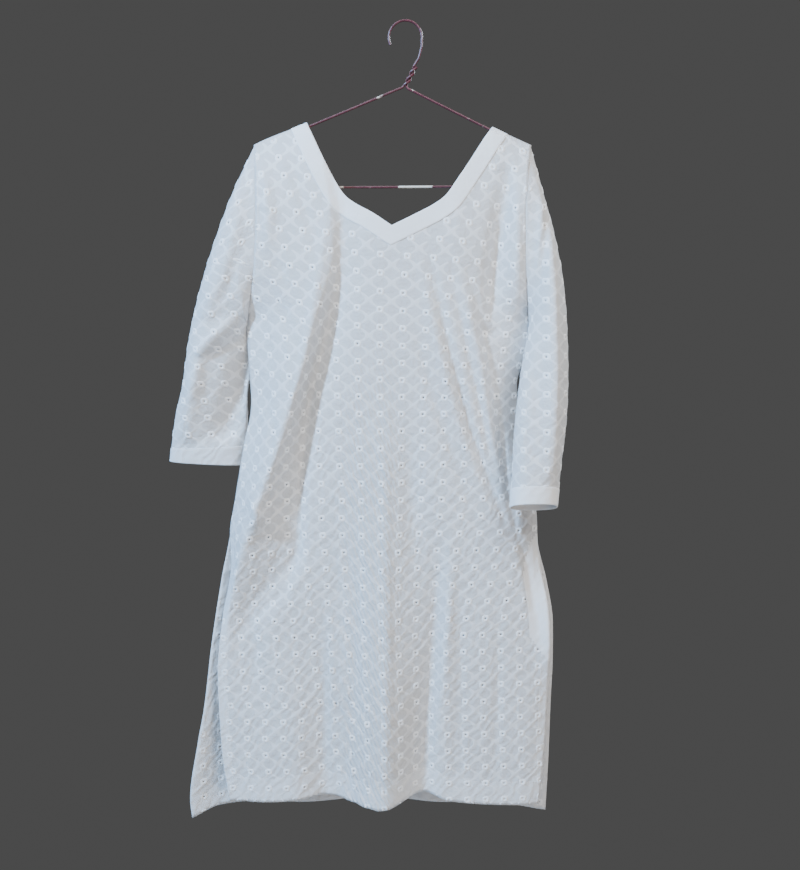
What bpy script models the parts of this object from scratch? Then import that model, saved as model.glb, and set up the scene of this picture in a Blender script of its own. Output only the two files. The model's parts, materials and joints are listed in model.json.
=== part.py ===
"""A white cotton kurta tunic on a coated wire hanger.

+Z is up, the front of the tunic faces -Y, and the origin is the inside top of the hanger's hook,
where a rail or a nail carries it. Lengths are in metres. Each piece of cloth is one sheet, worked
out from the outlines and the fold lines below and given its wall by a Solidify modifier. The tunic
is longer at the back than at the front, open at the neck, the cuffs, the hem and two side slits.
"""

import math

import bmesh
import bpy
import numpy as np

# Walls and clearances
CLOTH = 0.0012  # wall of a single layer
HEM_CLOTH = 0.0022  # wall where the hem and the slit edges are turned up
BAND_CLOTH = 0.0009  # wall of the neck and cuff bands, which lie on the cloth
SEAM = 0.0003  # gap between two pieces
SEAM_HALF = CLOTH + SEAM / 2  # a seam's outer edge, forward or back of the middle sheet
SLEEVE_HEAD_GAP = 0.0016  # a sleeve's start, clear of the panels' walls at the armhole

# Neck, hem and cuffs
NECK_BAND = 0.023
CUFF_BAND = 0.024
HEM_TURN = 0.036
SLIT_TURN = 0.014
FRONT_HEM = -1.088
BACK_HEM = (-1.124, -1.112)  # height at its left and right corners
SLIT_TOP = -0.70

# The whole tunic is turned a little about the hook, its right side forward, less towards the hem.
TURN = 0.06
TURN_KEPT = ((-0.60, 1.0), (-1.10, 0.3))  # height, share of the turn kept

# How fast the cloth stands off the shoulder line as it falls
STAND_OFF_DROP = 0.030
STAND_OFF_POWER = 0.75

# Shoulder seams, from the sleeve to the neck: across, height
LEFT_SHOULDER = ((-0.2060, -0.1585), (-0.1900, -0.1512), (-0.1330, -0.1300))
RIGHT_SHOULDER = ((0.1165, -0.1380), (0.1400, -0.1490), (0.1690, -0.1620))

# Neckline from the left shoulder to the middle, and from the middle to the right shoulder
FRONT_NECK_LEFT = (
    (-0.1330, -0.1300),
    (-0.1265, -0.1440),
    (-0.1065, -0.1860),
    (-0.0950, -0.2075),
    (-0.0795, -0.2300),
    (-0.0640, -0.2410),
    (-0.0445, -0.2515),
    (-0.0180, -0.2690),
)
FRONT_NECK_RIGHT = (
    (-0.0180, -0.2690),
    (0.0183, -0.2514),
    (0.0383, -0.2409),
    (0.0532, -0.2300),
    (0.0695, -0.2075),
    (0.0842, -0.1860),
    (0.1050, -0.1540),
    (0.1165, -0.1380),
)
BACK_NECK_LEFT = (*FRONT_NECK_LEFT[:5], (-0.0620, -0.2490), (-0.0410, -0.2650), (-0.0170, -0.2710))
BACK_NECK_RIGHT = ((-0.0170, -0.2710), (0.0080, -0.2655), (0.0330, -0.2490), *FRONT_NECK_RIGHT[3:])

# Side edges, shoulder to hem: height, across. The first rows are the armholes.
LEFT_ARMHOLE = (
    (-0.1585, -0.2060),
    (-0.2000, -0.2030),
    (-0.2500, -0.2020),
    (-0.3100, -0.2050),
    (-0.3600, -0.2130),
    (-0.3980, -0.2205),
)
RIGHT_ARMHOLE = (
    (-0.1620, 0.1690),
    (-0.2000, 0.1640),
    (-0.2500, 0.1610),
    (-0.3100, 0.1620),
    (-0.3600, 0.1660),
    (-0.3980, 0.1700),
)
LEFT_SIDE = (
    (-0.4680, -0.2165),
    (-0.5240, -0.2165),
    (-0.5650, -0.2205),
    (-0.6050, -0.2285),
    (-0.6500, -0.2410),
    (-0.7000, -0.2500),
)
RIGHT_SIDE = (
    (-0.4830, 0.1550),
    (-0.5300, 0.1515),
    (-0.5750, 0.1600),
    (-0.6690, 0.1850),
    (-0.7000, 0.1865),
)
FRONT_LEFT_SLIT = ((-0.7400, -0.2485), (-0.8200, -0.2610), (-0.9000, -0.2685), (-1.0150, -0.2640), (-1.0880, -0.2540))
FRONT_RIGHT_SLIT = ((-0.7400, 0.1910), (-0.8000, 0.2010), (-0.8500, 0.2035), (-0.9700, 0.2015), (-1.0880, 0.1930))
BACK_LEFT_SLIT = (
    (-0.7690, -0.2642),
    (-0.8645, -0.2792),
    (-0.9610, -0.2915),
    (-1.0105, -0.3015),
    (-1.0970, -0.3150),
    (-1.1240, -0.3130),
)
BACK_RIGHT_SLIT = ((-0.7650, 0.2016), (-0.8240, 0.2114), (-0.8830, 0.2125), (-0.9440, 0.2109), (-1.0300, 0.2096), (-1.1120, 0.2070))

# Depth of the side edges off the middle sheet: height, depth
ARMHOLE_DEPTH = ((-0.160, 0.004), (-0.172, 0.014), (-0.200, 0.022), (-0.250, 0.028), (-0.310, 0.027), (-0.360, 0.016), (-0.398, 0.0))
FRONT_SLIT_DEPTH = ((-0.700, 0.0), (-0.780, 0.008), (-0.860, 0.013), (-1.088, 0.016))
BACK_SLIT_DEPTH = ((-0.700, 0.0), (-0.820, 0.003), (-1.124, 0.006))

# Fold lines of the front: across and depth forward, in millimetres, at each of these heights
FRONT_HEIGHTS = (-0.16, -0.30, -0.40, -0.52, -0.62, -0.72, -0.84, -0.96, -1.09)
FRONT_FOLDS = {
    "left ridge": ((-115, -99, -125, -162, -186, -222, -243, -238, -228), (22, 33, 38, 43, 42, 31, 20, 20, 21)),
    "left trough": ((-103, -83, -101, -134, -156, -192, -215, -211, -205), (21, 28, 22, 16, 14, 15, 17, 22, 26)),
    "left plain": ((-90, -68, -85, -114, -134, -152, -167, -176, -181), (21, 32, 29, 25, 22, 23, 27, 32, 35)),
    "left valley": ((-60, -50, -62, -75, -86, -95, -105, -111, -112), (22, 35, 34, 30, 22, 11, 6, 4, 4)),
    "middle ridge": ((-33, -33, -34, -34, -33, -34, -33, -29, -29), (22, 36, 36, 33, 35, 40, 47, 53, 56)),
    "right valley": ((0, 0, 2, 5, 12, 32, 32, 32, 32), (22, 36, 36, 32, 26, 18, 13, 11, 11)),
    "right ridge": ((30, 32, 38, 42, 46, 60, 58, 58, 57), (21, 35, 36, 34, 32, 29, 29, 27, 25)),
    "right plain": ((60, 66, 80, 96, 104, 112, 118, 120, 120), (21, 34, 34, 31, 29, 28, 29, 27, 26)),
    "right side": ((120, 124, 132, 129, 144, 158, 172, 170, 166), (18, 30, 26, 20, 22, 24, 26, 26, 26)),
}

# The grid column that runs down each fold line
FRONT_FOLD_COLUMNS = (5, 8, 10, 13, 17, 21, 23, 26, 30)

# Fold lines of the back, as above: the same cloth, hanging flatter
BACK_HEIGHTS = (-0.16, -0.30, -0.45, -0.62, -0.80, -0.96, -1.12)
BACK_FOLDS = {
    "left back": ((-130, -130, -150, -170, -195, -215, -225), (18, 28, 26, 24, 19, 15, 13)),
    "left hollow": ((-90, -85, -95, -110, -125, -140, -148), (19, 27, 22, 17, 10, 6, 5)),
    "middle back": ((-30, -30, -32, -35, -38, -38, -36), (20, 28, 28, 27, 25, 23, 22)),
    "right hollow": ((35, 35, 34, 35, 42, 48, 50), (20, 28, 24, 18, 11, 7, 6)),
    "right back": ((90, 95, 95, 100, 120, 128, 130), (18, 28, 26, 24, 20, 16, 14)),
}

BACK_FOLD_COLUMNS = (4, 8, 13, 18, 22)

# The columns leave the neckline's spacing for the fold lines between these heights
COLUMNS_FOLLOW = (-0.22, -0.36)

# Sleeves below the armhole: outer edge across and height, inner edge across and height, then the
# middle's place forward, and how far the front and the back stand off it
SLEEVE_COLUMNS = ("outer_x", "outer_z", "inner_x", "inner_z", "middle_y", "front", "back")
LEFT_SLEEVE = (
    (-0.2340, -0.2169, -0.2240, -0.4000, 0.013, 0.032, 0.028),
    (-0.2641, -0.2897, -0.2250, -0.4012, 0.015, 0.038, 0.034),
    (-0.2867, -0.3541, -0.2250, -0.4025, 0.016, 0.041, 0.038),
    (-0.3030, -0.4150, -0.2245, -0.4040, 0.017, 0.041, 0.038),
    (-0.3095, -0.4500, -0.2240, -0.4065, 0.018, 0.038, 0.036),
    (-0.3118, -0.4640, -0.2236, -0.4200, 0.018, 0.025, 0.033),
    (-0.3150, -0.4850, -0.2232, -0.4550, 0.018, 0.023, 0.030),
    (-0.3254, -0.5250, -0.2250, -0.5100, 0.018, 0.026, 0.027),
    (-0.3338, -0.5700, -0.2295, -0.5620, 0.018, 0.027, 0.025),
    (-0.3375, -0.5975, -0.2345, -0.6025, 0.018, 0.026, 0.024),
)
RIGHT_SLEEVE = (
    (0.1831, -0.2168, 0.1745, -0.4000, -0.011, 0.032, 0.028),
    (0.2000, -0.2780, 0.1750, -0.4020, -0.014, 0.037, 0.030),
    (0.2125, -0.3400, 0.1740, -0.4050, -0.019, 0.038, 0.031),
    (0.2185, -0.4000, 0.1700, -0.4150, -0.028, 0.036, 0.031),
    (0.2206, -0.4482, 0.1595, -0.4480, -0.038, 0.034, 0.030),
    (0.2200, -0.4900, 0.1511, -0.4860, -0.048, 0.032, 0.030),
    (0.2178, -0.5281, 0.1445, -0.5250, -0.056, 0.031, 0.029),
    (0.2115, -0.5850, 0.1375, -0.5830, -0.065, 0.031, 0.028),
    (0.2065, -0.6440, 0.1330, -0.6440, -0.073, 0.030, 0.027),
)
SLEEVE_ROUNDNESS = 2.4  # power of the section's outline, 2 for an ellipse
RIGHT_CUFF_SLOPE = 0.35  # drop of the right cuff from its front to its back

# Hanger
WIRE = 0.0016  # radius, coating included
HOOK_RADIUS = 0.0205  # inside
HOOK_TIP = 205  # degrees round from the right
TWIST_FOOT = (0.0, -0.0835)
TWIST_HEAD = (0.0135, -0.0580)
TWIST_RADIUS = 0.00205
TWIST_TURNS = 1.5
BAR_HEIGHT = -0.2156
LEFT_END = (-0.1740, 0.0308)  # each rounded end: its middle across, and its radius
RIGHT_END = (0.1355, 0.0303)
LEFT_SLOPE = math.radians(20.3)
RIGHT_SLOPE = math.radians(25.0)

# Mesh counts
SHOULDER_COLUMNS = (4, 3)
NECK_COLUMNS = 13  # each side of the middle
BACK_NECK_COLUMNS = 9
BAND_ROWS = 2
FRONT_ROWS = 36
BACK_ROWS = 28
HEM_ROWS = 2
ROW_SPREAD = 1.5  # rows lie closer together at the shoulders
SLEEVE_SIDES = 24
SLEEVE_ROWS = 20
CUFF_ROWS = 2


def smooth_through(knots, values, where):
    """Cubic through the knots that overshoots none of them, read at where. Knots lie on the last axis."""
    step = np.diff(knots, axis=-1)
    rise = np.diff(values, axis=-1) / step
    before, after = rise[..., :-1], rise[..., 1:]
    level = before * after <= 0
    inner = np.where(level, 0, 2 * before * after / np.where(level, 1, before + after))
    slope = np.concatenate([rise[..., :1], inner, rise[..., -1:]], axis=-1)
    where = np.clip(where, knots[..., 0], knots[..., -1])
    cell = np.sum(where[..., None] >= knots[..., 1:-1], axis=-1)[..., None]

    def at(table, index):
        full = np.broadcast_to(table, (*where.shape, table.shape[-1]))
        return np.take_along_axis(full, index, axis=-1)[..., 0]

    width = at(step, cell)
    part = (where - at(knots, cell)) / width
    start, end = at(values, cell), at(values, cell + 1)
    leave, arrive = at(slope, cell) * width, at(slope, cell + 1) * width
    bend = 3 * (end - start) - 2 * leave - arrive
    return start + part * (leave + part * (bend + part * (leave + arrive - 2 * (end - start))))


def from_table(table, height):
    """A column of (height, value) rows, highest first, read at any height."""
    heights, values = np.array(table).T[:, ::-1]
    return smooth_through(heights, values, np.asarray(height, float))


def along(points, count):
    """count + 1 points at even steps along a smooth curve through the points."""
    points = np.array(points)
    length = np.concatenate([[0], np.cumsum(np.hypot(*np.diff(points, axis=0).T))])
    even = np.linspace(0, length[-1], count + 1)
    return np.stack([smooth_through(length, points[:, axis], even) for axis in (0, 1)], axis=-1)


def middle_sheet(across, height):
    """How far back the tunic's middle sheet lies: the turn about the hook."""
    kept = np.interp(-height, [-TURN_KEPT[0][0], -TURN_KEPT[1][0]], [TURN_KEPT[0][1], TURN_KEPT[1][1]])
    return -TURN * across * kept


def shoulder_height(across):
    """The shoulder line, carried straight over the neck."""
    line = np.array(LEFT_SHOULDER + RIGHT_SHOULDER)
    return np.interp(across, line[:, 0], line[:, 1])


class Panel:
    """The front or the back: its outline, its fold lines, and which way it stands off."""

    def __init__(self, side, heights, folds, fold_columns, edges, edge_depth, neck, hem):
        self.side = side  # -1 forward, 1 back
        self.heights = np.array(heights)[::-1]
        self.folds = [(np.array(across)[::-1] / 1000, np.array(depth)[::-1] / 1000) for across, depth in folds]
        self.fold_columns = fold_columns
        self.left, self.right = edges
        self.edge_depth = edge_depth
        self.neck = neck
        self.hem = hem

    def depth(self, across, height):
        """Distance of the outer face off the middle sheet."""
        height = np.asarray(height, float)
        edge = from_table(self.edge_depth, height)
        depths = [edge, *(smooth_through(self.heights, row, height) for _, row in self.folds), edge]
        depth = smooth_through(self.places(height), np.stack(depths, axis=-1), np.asarray(across, float))
        drop = np.maximum(shoulder_height(across) - height, 0)
        return SEAM_HALF + depth * (1 - np.exp(-drop / STAND_OFF_DROP)) ** STAND_OFF_POWER

    def places(self, height):
        """Where the left edge, each fold line and the right edge lie across."""
        rows = [smooth_through(self.heights, across_row, height) for across_row, _ in self.folds]
        return np.stack([from_table(self.left, height), *rows, from_table(self.right, height)], axis=-1)

    def surface(self, flat):
        """Points in space for (across, height) pairs."""
        across, height = flat[..., 0], flat[..., 1]
        back = middle_sheet(across, height) + self.side * self.depth(across, height)
        return np.stack([across, back, height], axis=-1)

    def outline(self, neck_columns):
        """The neckline, and the edge of its band with the rest of the shoulders at both ends."""
        left, right = (along(table, neck_columns) for table in self.neck)
        neckline = np.concatenate([left, right[1:]])
        forward = np.gradient(neckline, axis=0)
        forward /= np.hypot(*forward.T)[:, None]
        inward = np.stack([forward[:, 1], -forward[:, 0]], axis=-1)
        middle = neck_columns
        inward[middle] = inward[middle - 1] + inward[middle + 1]
        inward[middle] /= np.dot(inward[middle], inward[middle - 1])
        band = neckline + NECK_BAND * inward
        for end, shoulder in ((0, LEFT_SHOULDER[::-1]), (-1, RIGHT_SHOULDER)):
            seam = np.array(shoulder[1]) - shoulder[0]
            band[end] = neckline[end] + NECK_BAND * seam / np.hypot(*seam)
        band[:, 1] = np.minimum(band[:, 1], shoulder_height(band[:, 0]))
        left_seam = along((LEFT_SHOULDER[0], LEFT_SHOULDER[1], band[0]), SHOULDER_COLUMNS[0])
        right_seam = along((band[-1], RIGHT_SHOULDER[2]), SHOULDER_COLUMNS[1])
        return neckline, np.concatenate([left_seam[:-1], band, right_seam[1:]])

    def grid(self, neck_columns, rows):
        """(across, height) of the panel from the band's edge to the hem, and of the band itself."""
        neckline, top = self.outline(neck_columns)
        steps = np.concatenate([np.linspace(0, 1, rows + 1) ** ROW_SPREAD, np.linspace(1, 2, HEM_ROWS + 1)[1:]])
        corners = np.array([self.hem[0], self.hem[1]])
        sides = []
        for end, table in ((0, self.left), (-1, self.right)):
            turn = corners[end] + HEM_TURN
            height = np.interp(steps, [0, 1, 2], [top[end, 1], turn, corners[end]])
            sides.append(np.stack([from_table(table, height), height], axis=-1))
        share = np.linspace(0, 1, len(top))[:, None]
        bottom = sides[0][-1] * (1 - share) + sides[1][-1] * share
        bottom[:, 0] = np.linspace(sides[0][-1, 0], sides[1][-1, 0], len(top))
        down = ((sides[0][:, 1] - sides[0][0, 1]) / (sides[0][-1, 1] - sides[0][0, 1]))[:, None, None]
        left, right = sides[0][:, None], sides[1][:, None]
        straight = (1 - down) * ((1 - share) * top[0] + share * top[-1])
        straight = straight + down * ((1 - share) * bottom[0] + share * bottom[-1])
        body = (1 - down) * top + down * bottom + (1 - share) * left + share * right - straight
        begin, end = COLUMNS_FOLLOW
        follow = np.clip((body[..., 1] - begin) / (end - begin), 0, 1)
        follow *= follow * (3 - 2 * follow)
        last = len(top) - 1
        columns = np.array((0, *self.fold_columns, last), float)
        number = np.broadcast_to(np.arange(len(top)), body.shape[:2]).astype(float)
        on_folds = smooth_through(np.broadcast_to(columns, (*number.shape, len(columns))), self.places(body[..., 1]), number)
        body[..., 0] += follow * (on_folds - body[..., 0])
        start = SHOULDER_COLUMNS[0]
        across_band = np.linspace(0, 1, BAND_ROWS + 1)[:, None, None]
        band = (1 - across_band) * neckline + across_band * top[start : start + len(neckline)]
        return body, band


def quads(rows, columns, first=0, closed=False):
    """Corner numbers of a grid's faces, its points numbered row by row."""
    wrap = columns if closed else columns - 1
    return [
        (first + r * columns + c, first + r * columns + (c + 1) % columns, first + (r + 1) * columns + (c + 1) % columns, first + (r + 1) * columns + c)
        for r in range(rows - 1)
        for c in range(wrap)
    ]


def material(name, colour, roughness, metallic=0.0):
    made = bpy.data.materials.new(name)
    made.use_nodes = True
    shader = made.node_tree.nodes["Principled BSDF"]
    shader.inputs["Base Color"].default_value = (*colour, 1)
    shader.inputs["Roughness"].default_value = roughness
    shader.inputs["Metallic"].default_value = metallic
    made.diffuse_color = (*colour, 1)
    return made


def add_object(name, mesh, finish, parent):
    made = bpy.data.objects.new(name, mesh)
    mesh.materials.append(finish)
    bpy.data.collections["kurta_tunic"].objects.link(made)
    made.parent = parent
    return made


def sheet(name, points, faces, outward, finish, parent, wall=CLOTH, thin=None, offset=-1):
    """A sheet of cloth with its wall. thin holds each point's share of the wall, where it varies."""
    mesh = bpy.data.meshes.new(name)
    mesh.from_pydata(points.tolist(), [], faces)
    shell = bmesh.new()
    shell.from_mesh(mesh)
    bmesh.ops.remove_doubles(shell, verts=shell.verts, dist=1e-6)
    shell.normal_update()
    if sum(outward(face.calc_center_median()).dot(face.normal) for face in shell.faces) < 0:
        bmesh.ops.reverse_faces(shell, faces=shell.faces)
    shell.to_mesh(mesh)
    shell.free()
    mesh.shade_smooth()
    made = add_object(name, mesh, finish, parent)
    solid = made.modifiers.new("Wall", "SOLIDIFY")
    solid.thickness = wall
    solid.offset = offset
    if thin is not None:
        group = made.vertex_groups.new(name="wall")
        for index, share in enumerate(thin):
            group.add([index], share, "REPLACE")
        solid.vertex_group = group.name
    return made


def moved_out(made, keep, distance):
    """Points of a sheet moved out along its normals, for the piece that lies on it."""
    mesh = made.data
    points = np.array([vertex.co for vertex in mesh.vertices])
    normals = np.array([vertex.normal for vertex in mesh.vertices])
    return (points + normals * distance)[keep]


def build_panel(name, panel, neck_columns, rows, finish, parent):
    """A panel and the band on its neckline."""
    body, band = panel.grid(neck_columns, rows)
    top_row = SHOULDER_COLUMNS[0] + np.arange(band.shape[1])
    points = panel.surface(np.concatenate([body.reshape(-1, 2), band[:-1].reshape(-1, 2)]))
    rows_here, columns = body.shape[:2]
    faces = quads(rows_here, columns)
    first = rows_here * columns
    numbers = np.concatenate([first + np.arange(BAND_ROWS * band.shape[1]).reshape(BAND_ROWS, -1), top_row[None]])
    band_faces = [
        (numbers[r, c], numbers[r, c + 1], numbers[r + 1, c + 1], numbers[r + 1, c])
        for r in range(BAND_ROWS)
        for c in range(band.shape[1] - 1)
    ]
    faces += [tuple(int(corner) for corner in face) for face in band_faces]
    thin = np.full(len(points), CLOTH / HEM_CLOTH)
    thin[(rows_here - HEM_ROWS) * columns : rows_here * columns] = 1
    facing = lambda centre: centre.__class__((0, panel.side, 0))
    made = sheet(name, points, faces, facing, finish, parent, HEM_CLOTH, thin)
    strip = moved_out(made, numbers.reshape(-1), SEAM)
    sheet(
        name.replace("panel", "neck_band"),
        strip,
        quads(BAND_ROWS + 1, band.shape[1]),
        facing,
        finish,
        parent,
        BAND_CLOTH,
        offset=1,
    )


def sleeve_rings(table, front, back, hand, cuff_slope):
    """Points of a sleeve at even steps from the armhole to the cuff, round and round."""
    angle = np.arange(SLEEVE_SIDES) * 2 * math.pi / SLEEVE_SIDES
    power = 2 / SLEEVE_ROUNDNESS
    lengthwise = np.sign(np.cos(angle)) * np.abs(np.cos(angle)) ** power
    sideways = np.sign(np.sin(angle)) * np.abs(np.sin(angle)) ** power
    armhole = np.array(front.left if hand < 0 else front.right)[:6]
    height = armhole[0, 0] + (armhole[-1, 0] - armhole[0, 0]) * (1 - lengthwise) / 2
    across = from_table(armhole, height)
    edge = np.where(sideways > 0, -front.depth(across, height), back.depth(across, height))
    edge = np.where(np.abs(sideways) < 1e-9, 0, edge)
    rings = [np.stack([across + hand * SLEEVE_HEAD_GAP, middle_sheet(across, height) + edge, height], axis=-1)]
    for values in table:
        row = dict(zip(SLEEVE_COLUMNS, values))
        out, into = (1 + lengthwise) / 2, (1 - lengthwise) / 2
        stand = np.where(sideways > 0, -row["front"], row["back"]) * np.abs(sideways)
        x = row["outer_x"] * out + row["inner_x"] * into
        z = row["outer_z"] * out + row["inner_z"] * into - cuff_slope * stand * len(rings) / len(table)
        rings.append(np.stack([x, row["middle_y"] + stand, z], axis=-1))
    rings = np.array(rings)
    mean = rings.mean(axis=1)
    length = np.concatenate([[0], np.cumsum(np.linalg.norm(np.diff(mean, axis=0), axis=1))])
    cuff = length[-1] - CUFF_BAND
    even = np.concatenate([np.linspace(0, cuff, SLEEVE_ROWS + 1), np.linspace(cuff, length[-1], CUFF_ROWS + 1)[1:]])
    knots = np.broadcast_to(length, (*rings.shape[1:], len(length)))
    values = np.moveaxis(rings, 0, -1)
    return np.array([smooth_through(knots, values, np.full(rings.shape[1:], place)) for place in even])


def build_sleeve(name, table, front, back, hand, cuff_slope, finish, parent):
    """A sleeve and the band on its cuff."""
    rings = sleeve_rings(table, front, back, hand, cuff_slope)
    middles = rings.mean(axis=1)
    facing = lambda centre: centre - centre.__class__(middles[np.argmin(np.linalg.norm(middles - np.array(centre), axis=1))])
    faces = quads(len(rings), SLEEVE_SIDES, closed=True)
    made = sheet(name, rings.reshape(-1, 3), faces, facing, finish, parent)
    start = (len(rings) - 1 - CUFF_ROWS) * SLEEVE_SIDES
    strip = moved_out(made, np.arange(start, len(rings) * SLEEVE_SIDES), SEAM)
    cuff_faces = quads(CUFF_ROWS + 1, SLEEVE_SIDES, closed=True)
    sheet(name.replace("sleeve", "cuff_band"), strip, cuff_faces, facing, finish, parent, BAND_CLOTH, offset=1)


def arc(centre, radius, start, end, count):
    """Points round an arc, its angles in radians from the right."""
    angle = np.linspace(start, end, count)
    return np.stack([centre[0] + radius * np.cos(angle), centre[1] + radius * np.sin(angle)], axis=-1)


def twist_strand(start_angle):
    """One of the two wires wound round each other, from the twist's foot to its head."""
    foot = np.array((TWIST_FOOT[0], 0, TWIST_FOOT[1]))
    head = np.array((TWIST_HEAD[0], 0, TWIST_HEAD[1]))
    axis = (head - foot) / np.linalg.norm(head - foot)
    aside = np.array((axis[2], 0, -axis[0]))
    part = np.linspace(0, 1, 15)[:, None]
    angle = start_angle + 2 * math.pi * TWIST_TURNS * part
    round_axis = np.cos(angle) * aside + np.sin(angle) * np.array((0, 1, 0))
    return foot + part * (head - foot) + TWIST_RADIUS * round_axis


def in_plane(points):
    """(across, height) points on the hanger, which turns with the tunic."""
    points = np.asarray(points)
    return np.stack([points[:, 0], -TURN * points[:, 0], points[:, 1]], axis=-1)


def hanger_route():
    """The wire from the hook's tip, down one side of the twist, round the shoulders and up the other."""
    ring = HOOK_RADIUS + WIRE
    hook = arc((0, -HOOK_RADIUS), ring, math.radians(HOOK_TIP), 0, 14)
    neck = ((0.0218, -0.0330), (0.0180, -0.0475))
    across, radius = RIGHT_END
    right = arc((across, BAR_HEIGHT + radius), radius, math.pi / 2 - RIGHT_SLOPE, -math.pi / 2, 10)
    across, radius = LEFT_END
    left = arc((across, BAR_HEIGHT + radius), radius, -math.pi / 2, -3 * math.pi / 2 + LEFT_SLOPE, 10)
    bar = [(across, BAR_HEIGHT) for across in (0.07, 0.0, -0.07, -0.13)]
    right_arm = [(0.004, -0.0868), (0.012, -0.0905), (0.07, -0.1195)]
    left_arm = [(-0.07, -0.1112), (-0.012, -0.0880), (-0.004, -0.0850)]
    down = twist_strand(0)[::-1]
    up = twist_strand(math.pi)
    return np.concatenate([in_plane(hook), in_plane(neck), down, in_plane([*right_arm, *right, *bar, *left, *left_arm]), up])


def build_hanger(finish, parent):
    """The hanger: one coated wire as a curve with round ends."""
    route = hanger_route()
    curve = bpy.data.curves.new("hanger_wire", "CURVE")
    curve.dimensions = "3D"
    curve.bevel_depth = WIRE
    curve.bevel_resolution = 2
    curve.use_fill_caps = True
    line = curve.splines.new("POLY")
    line.points.add(len(route) - 1)
    for point, place in zip(line.points, route):
        point.co = (*place, 1)
    return add_object("hanger_wire", curve, finish, parent)


def clear_scene():
    for old in list(bpy.data.objects):
        bpy.data.objects.remove(old, do_unlink=True)


def main():
    clear_scene()
    parts = bpy.data.collections.new("kurta_tunic")
    bpy.context.scene.collection.children.link(parts)
    tunic = bpy.data.objects.new("tunic_frame", None)
    parts.objects.link(tunic)
    cotton = material("white_cotton", (0.78, 0.80, 0.83), 0.85)
    band_cotton = material("plain_cotton", (0.82, 0.84, 0.87), 0.85)
    coated_wire = material("coated_wire", (0.20, 0.03, 0.05), 0.4)

    sides = (LEFT_ARMHOLE + LEFT_SIDE, RIGHT_ARMHOLE + RIGHT_SIDE)
    front = Panel(
        -1,
        FRONT_HEIGHTS,
        FRONT_FOLDS.values(),
        FRONT_FOLD_COLUMNS,
        (sides[0] + FRONT_LEFT_SLIT, sides[1] + FRONT_RIGHT_SLIT),
        ARMHOLE_DEPTH + FRONT_SLIT_DEPTH,
        (FRONT_NECK_LEFT, FRONT_NECK_RIGHT),
        (FRONT_HEM, FRONT_HEM),
    )
    back = Panel(
        1,
        BACK_HEIGHTS,
        BACK_FOLDS.values(),
        BACK_FOLD_COLUMNS,
        (sides[0] + BACK_LEFT_SLIT, sides[1] + BACK_RIGHT_SLIT),
        ARMHOLE_DEPTH + BACK_SLIT_DEPTH,
        (BACK_NECK_LEFT, BACK_NECK_RIGHT),
        BACK_HEM,
    )
    build_panel("front_panel", front, NECK_COLUMNS, FRONT_ROWS, cotton, tunic)
    build_panel("back_panel", back, BACK_NECK_COLUMNS, BACK_ROWS, cotton, tunic)
    build_sleeve("left_sleeve", LEFT_SLEEVE, front, back, -1, 0, cotton, tunic)
    build_sleeve("right_sleeve", RIGHT_SLEEVE, front, back, 1, RIGHT_CUFF_SLOPE, cotton, tunic)
    for made in parts.objects:
        if made.name.endswith("band"):
            made.data.materials[0] = band_cotton
    build_hanger(coated_wire, tunic)


main()
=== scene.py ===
"""Dresses a white cotton kurta tunic, embroidered all over with eyelets, on its coated wire hanger.

The tunic hangs from the inside top of the hanger's hook, which is the origin. +Z is up and the front
faces -Y. Lengths are in metres unless a name says otherwise.
"""

from __future__ import annotations

import json
import logging
import math
from dataclasses import dataclass, field
from enum import Enum

import bmesh
import bpy
import numpy as np
from mathutils import Euler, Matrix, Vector

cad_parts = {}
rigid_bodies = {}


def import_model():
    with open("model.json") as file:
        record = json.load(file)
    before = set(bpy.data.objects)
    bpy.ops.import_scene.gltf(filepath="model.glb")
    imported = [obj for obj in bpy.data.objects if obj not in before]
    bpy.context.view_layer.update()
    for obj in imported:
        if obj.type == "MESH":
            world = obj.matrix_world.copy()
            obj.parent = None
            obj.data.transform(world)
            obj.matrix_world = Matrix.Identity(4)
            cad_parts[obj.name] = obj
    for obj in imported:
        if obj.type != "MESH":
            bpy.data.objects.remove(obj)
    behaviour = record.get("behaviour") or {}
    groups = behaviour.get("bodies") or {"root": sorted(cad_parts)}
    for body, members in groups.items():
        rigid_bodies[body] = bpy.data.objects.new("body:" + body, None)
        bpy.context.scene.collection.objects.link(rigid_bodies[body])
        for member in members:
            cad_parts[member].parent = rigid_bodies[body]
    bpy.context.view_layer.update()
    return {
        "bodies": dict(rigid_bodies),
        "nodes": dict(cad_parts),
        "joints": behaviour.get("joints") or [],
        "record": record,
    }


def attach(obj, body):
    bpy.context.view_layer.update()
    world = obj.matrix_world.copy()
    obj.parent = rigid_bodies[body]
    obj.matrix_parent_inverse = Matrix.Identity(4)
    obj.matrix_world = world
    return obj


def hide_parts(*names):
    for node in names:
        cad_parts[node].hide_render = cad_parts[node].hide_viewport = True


LOG = logging.getLogger("kurta_tunic")
MM = 0.001
BODY = "root"
RISING_TURN, FALLING_TURN = 36.0, 23.0
BLACK, WHITE = (0.0, 0.0, 0.0), (1.0, 1.0, 1.0)
Array = np.ndarray
Socket = bpy.types.NodeSocket
Colour = tuple[float, float, float]
Table = tuple[tuple[float, ...], ...]


class Side(Enum):
    """Which half of the tunic a panel is, as the sign of its way out along Y."""

    FRONT = -1
    BACK = 1


class Hand(Enum):
    """Which arm a sleeve is for as seen from the front, as its sign along X."""

    LEFT = -1
    RIGHT = 1


class Held(Enum):
    """How a sheet of cloth is carried."""

    HUNG = "hung"


# ---- curves ----


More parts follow.
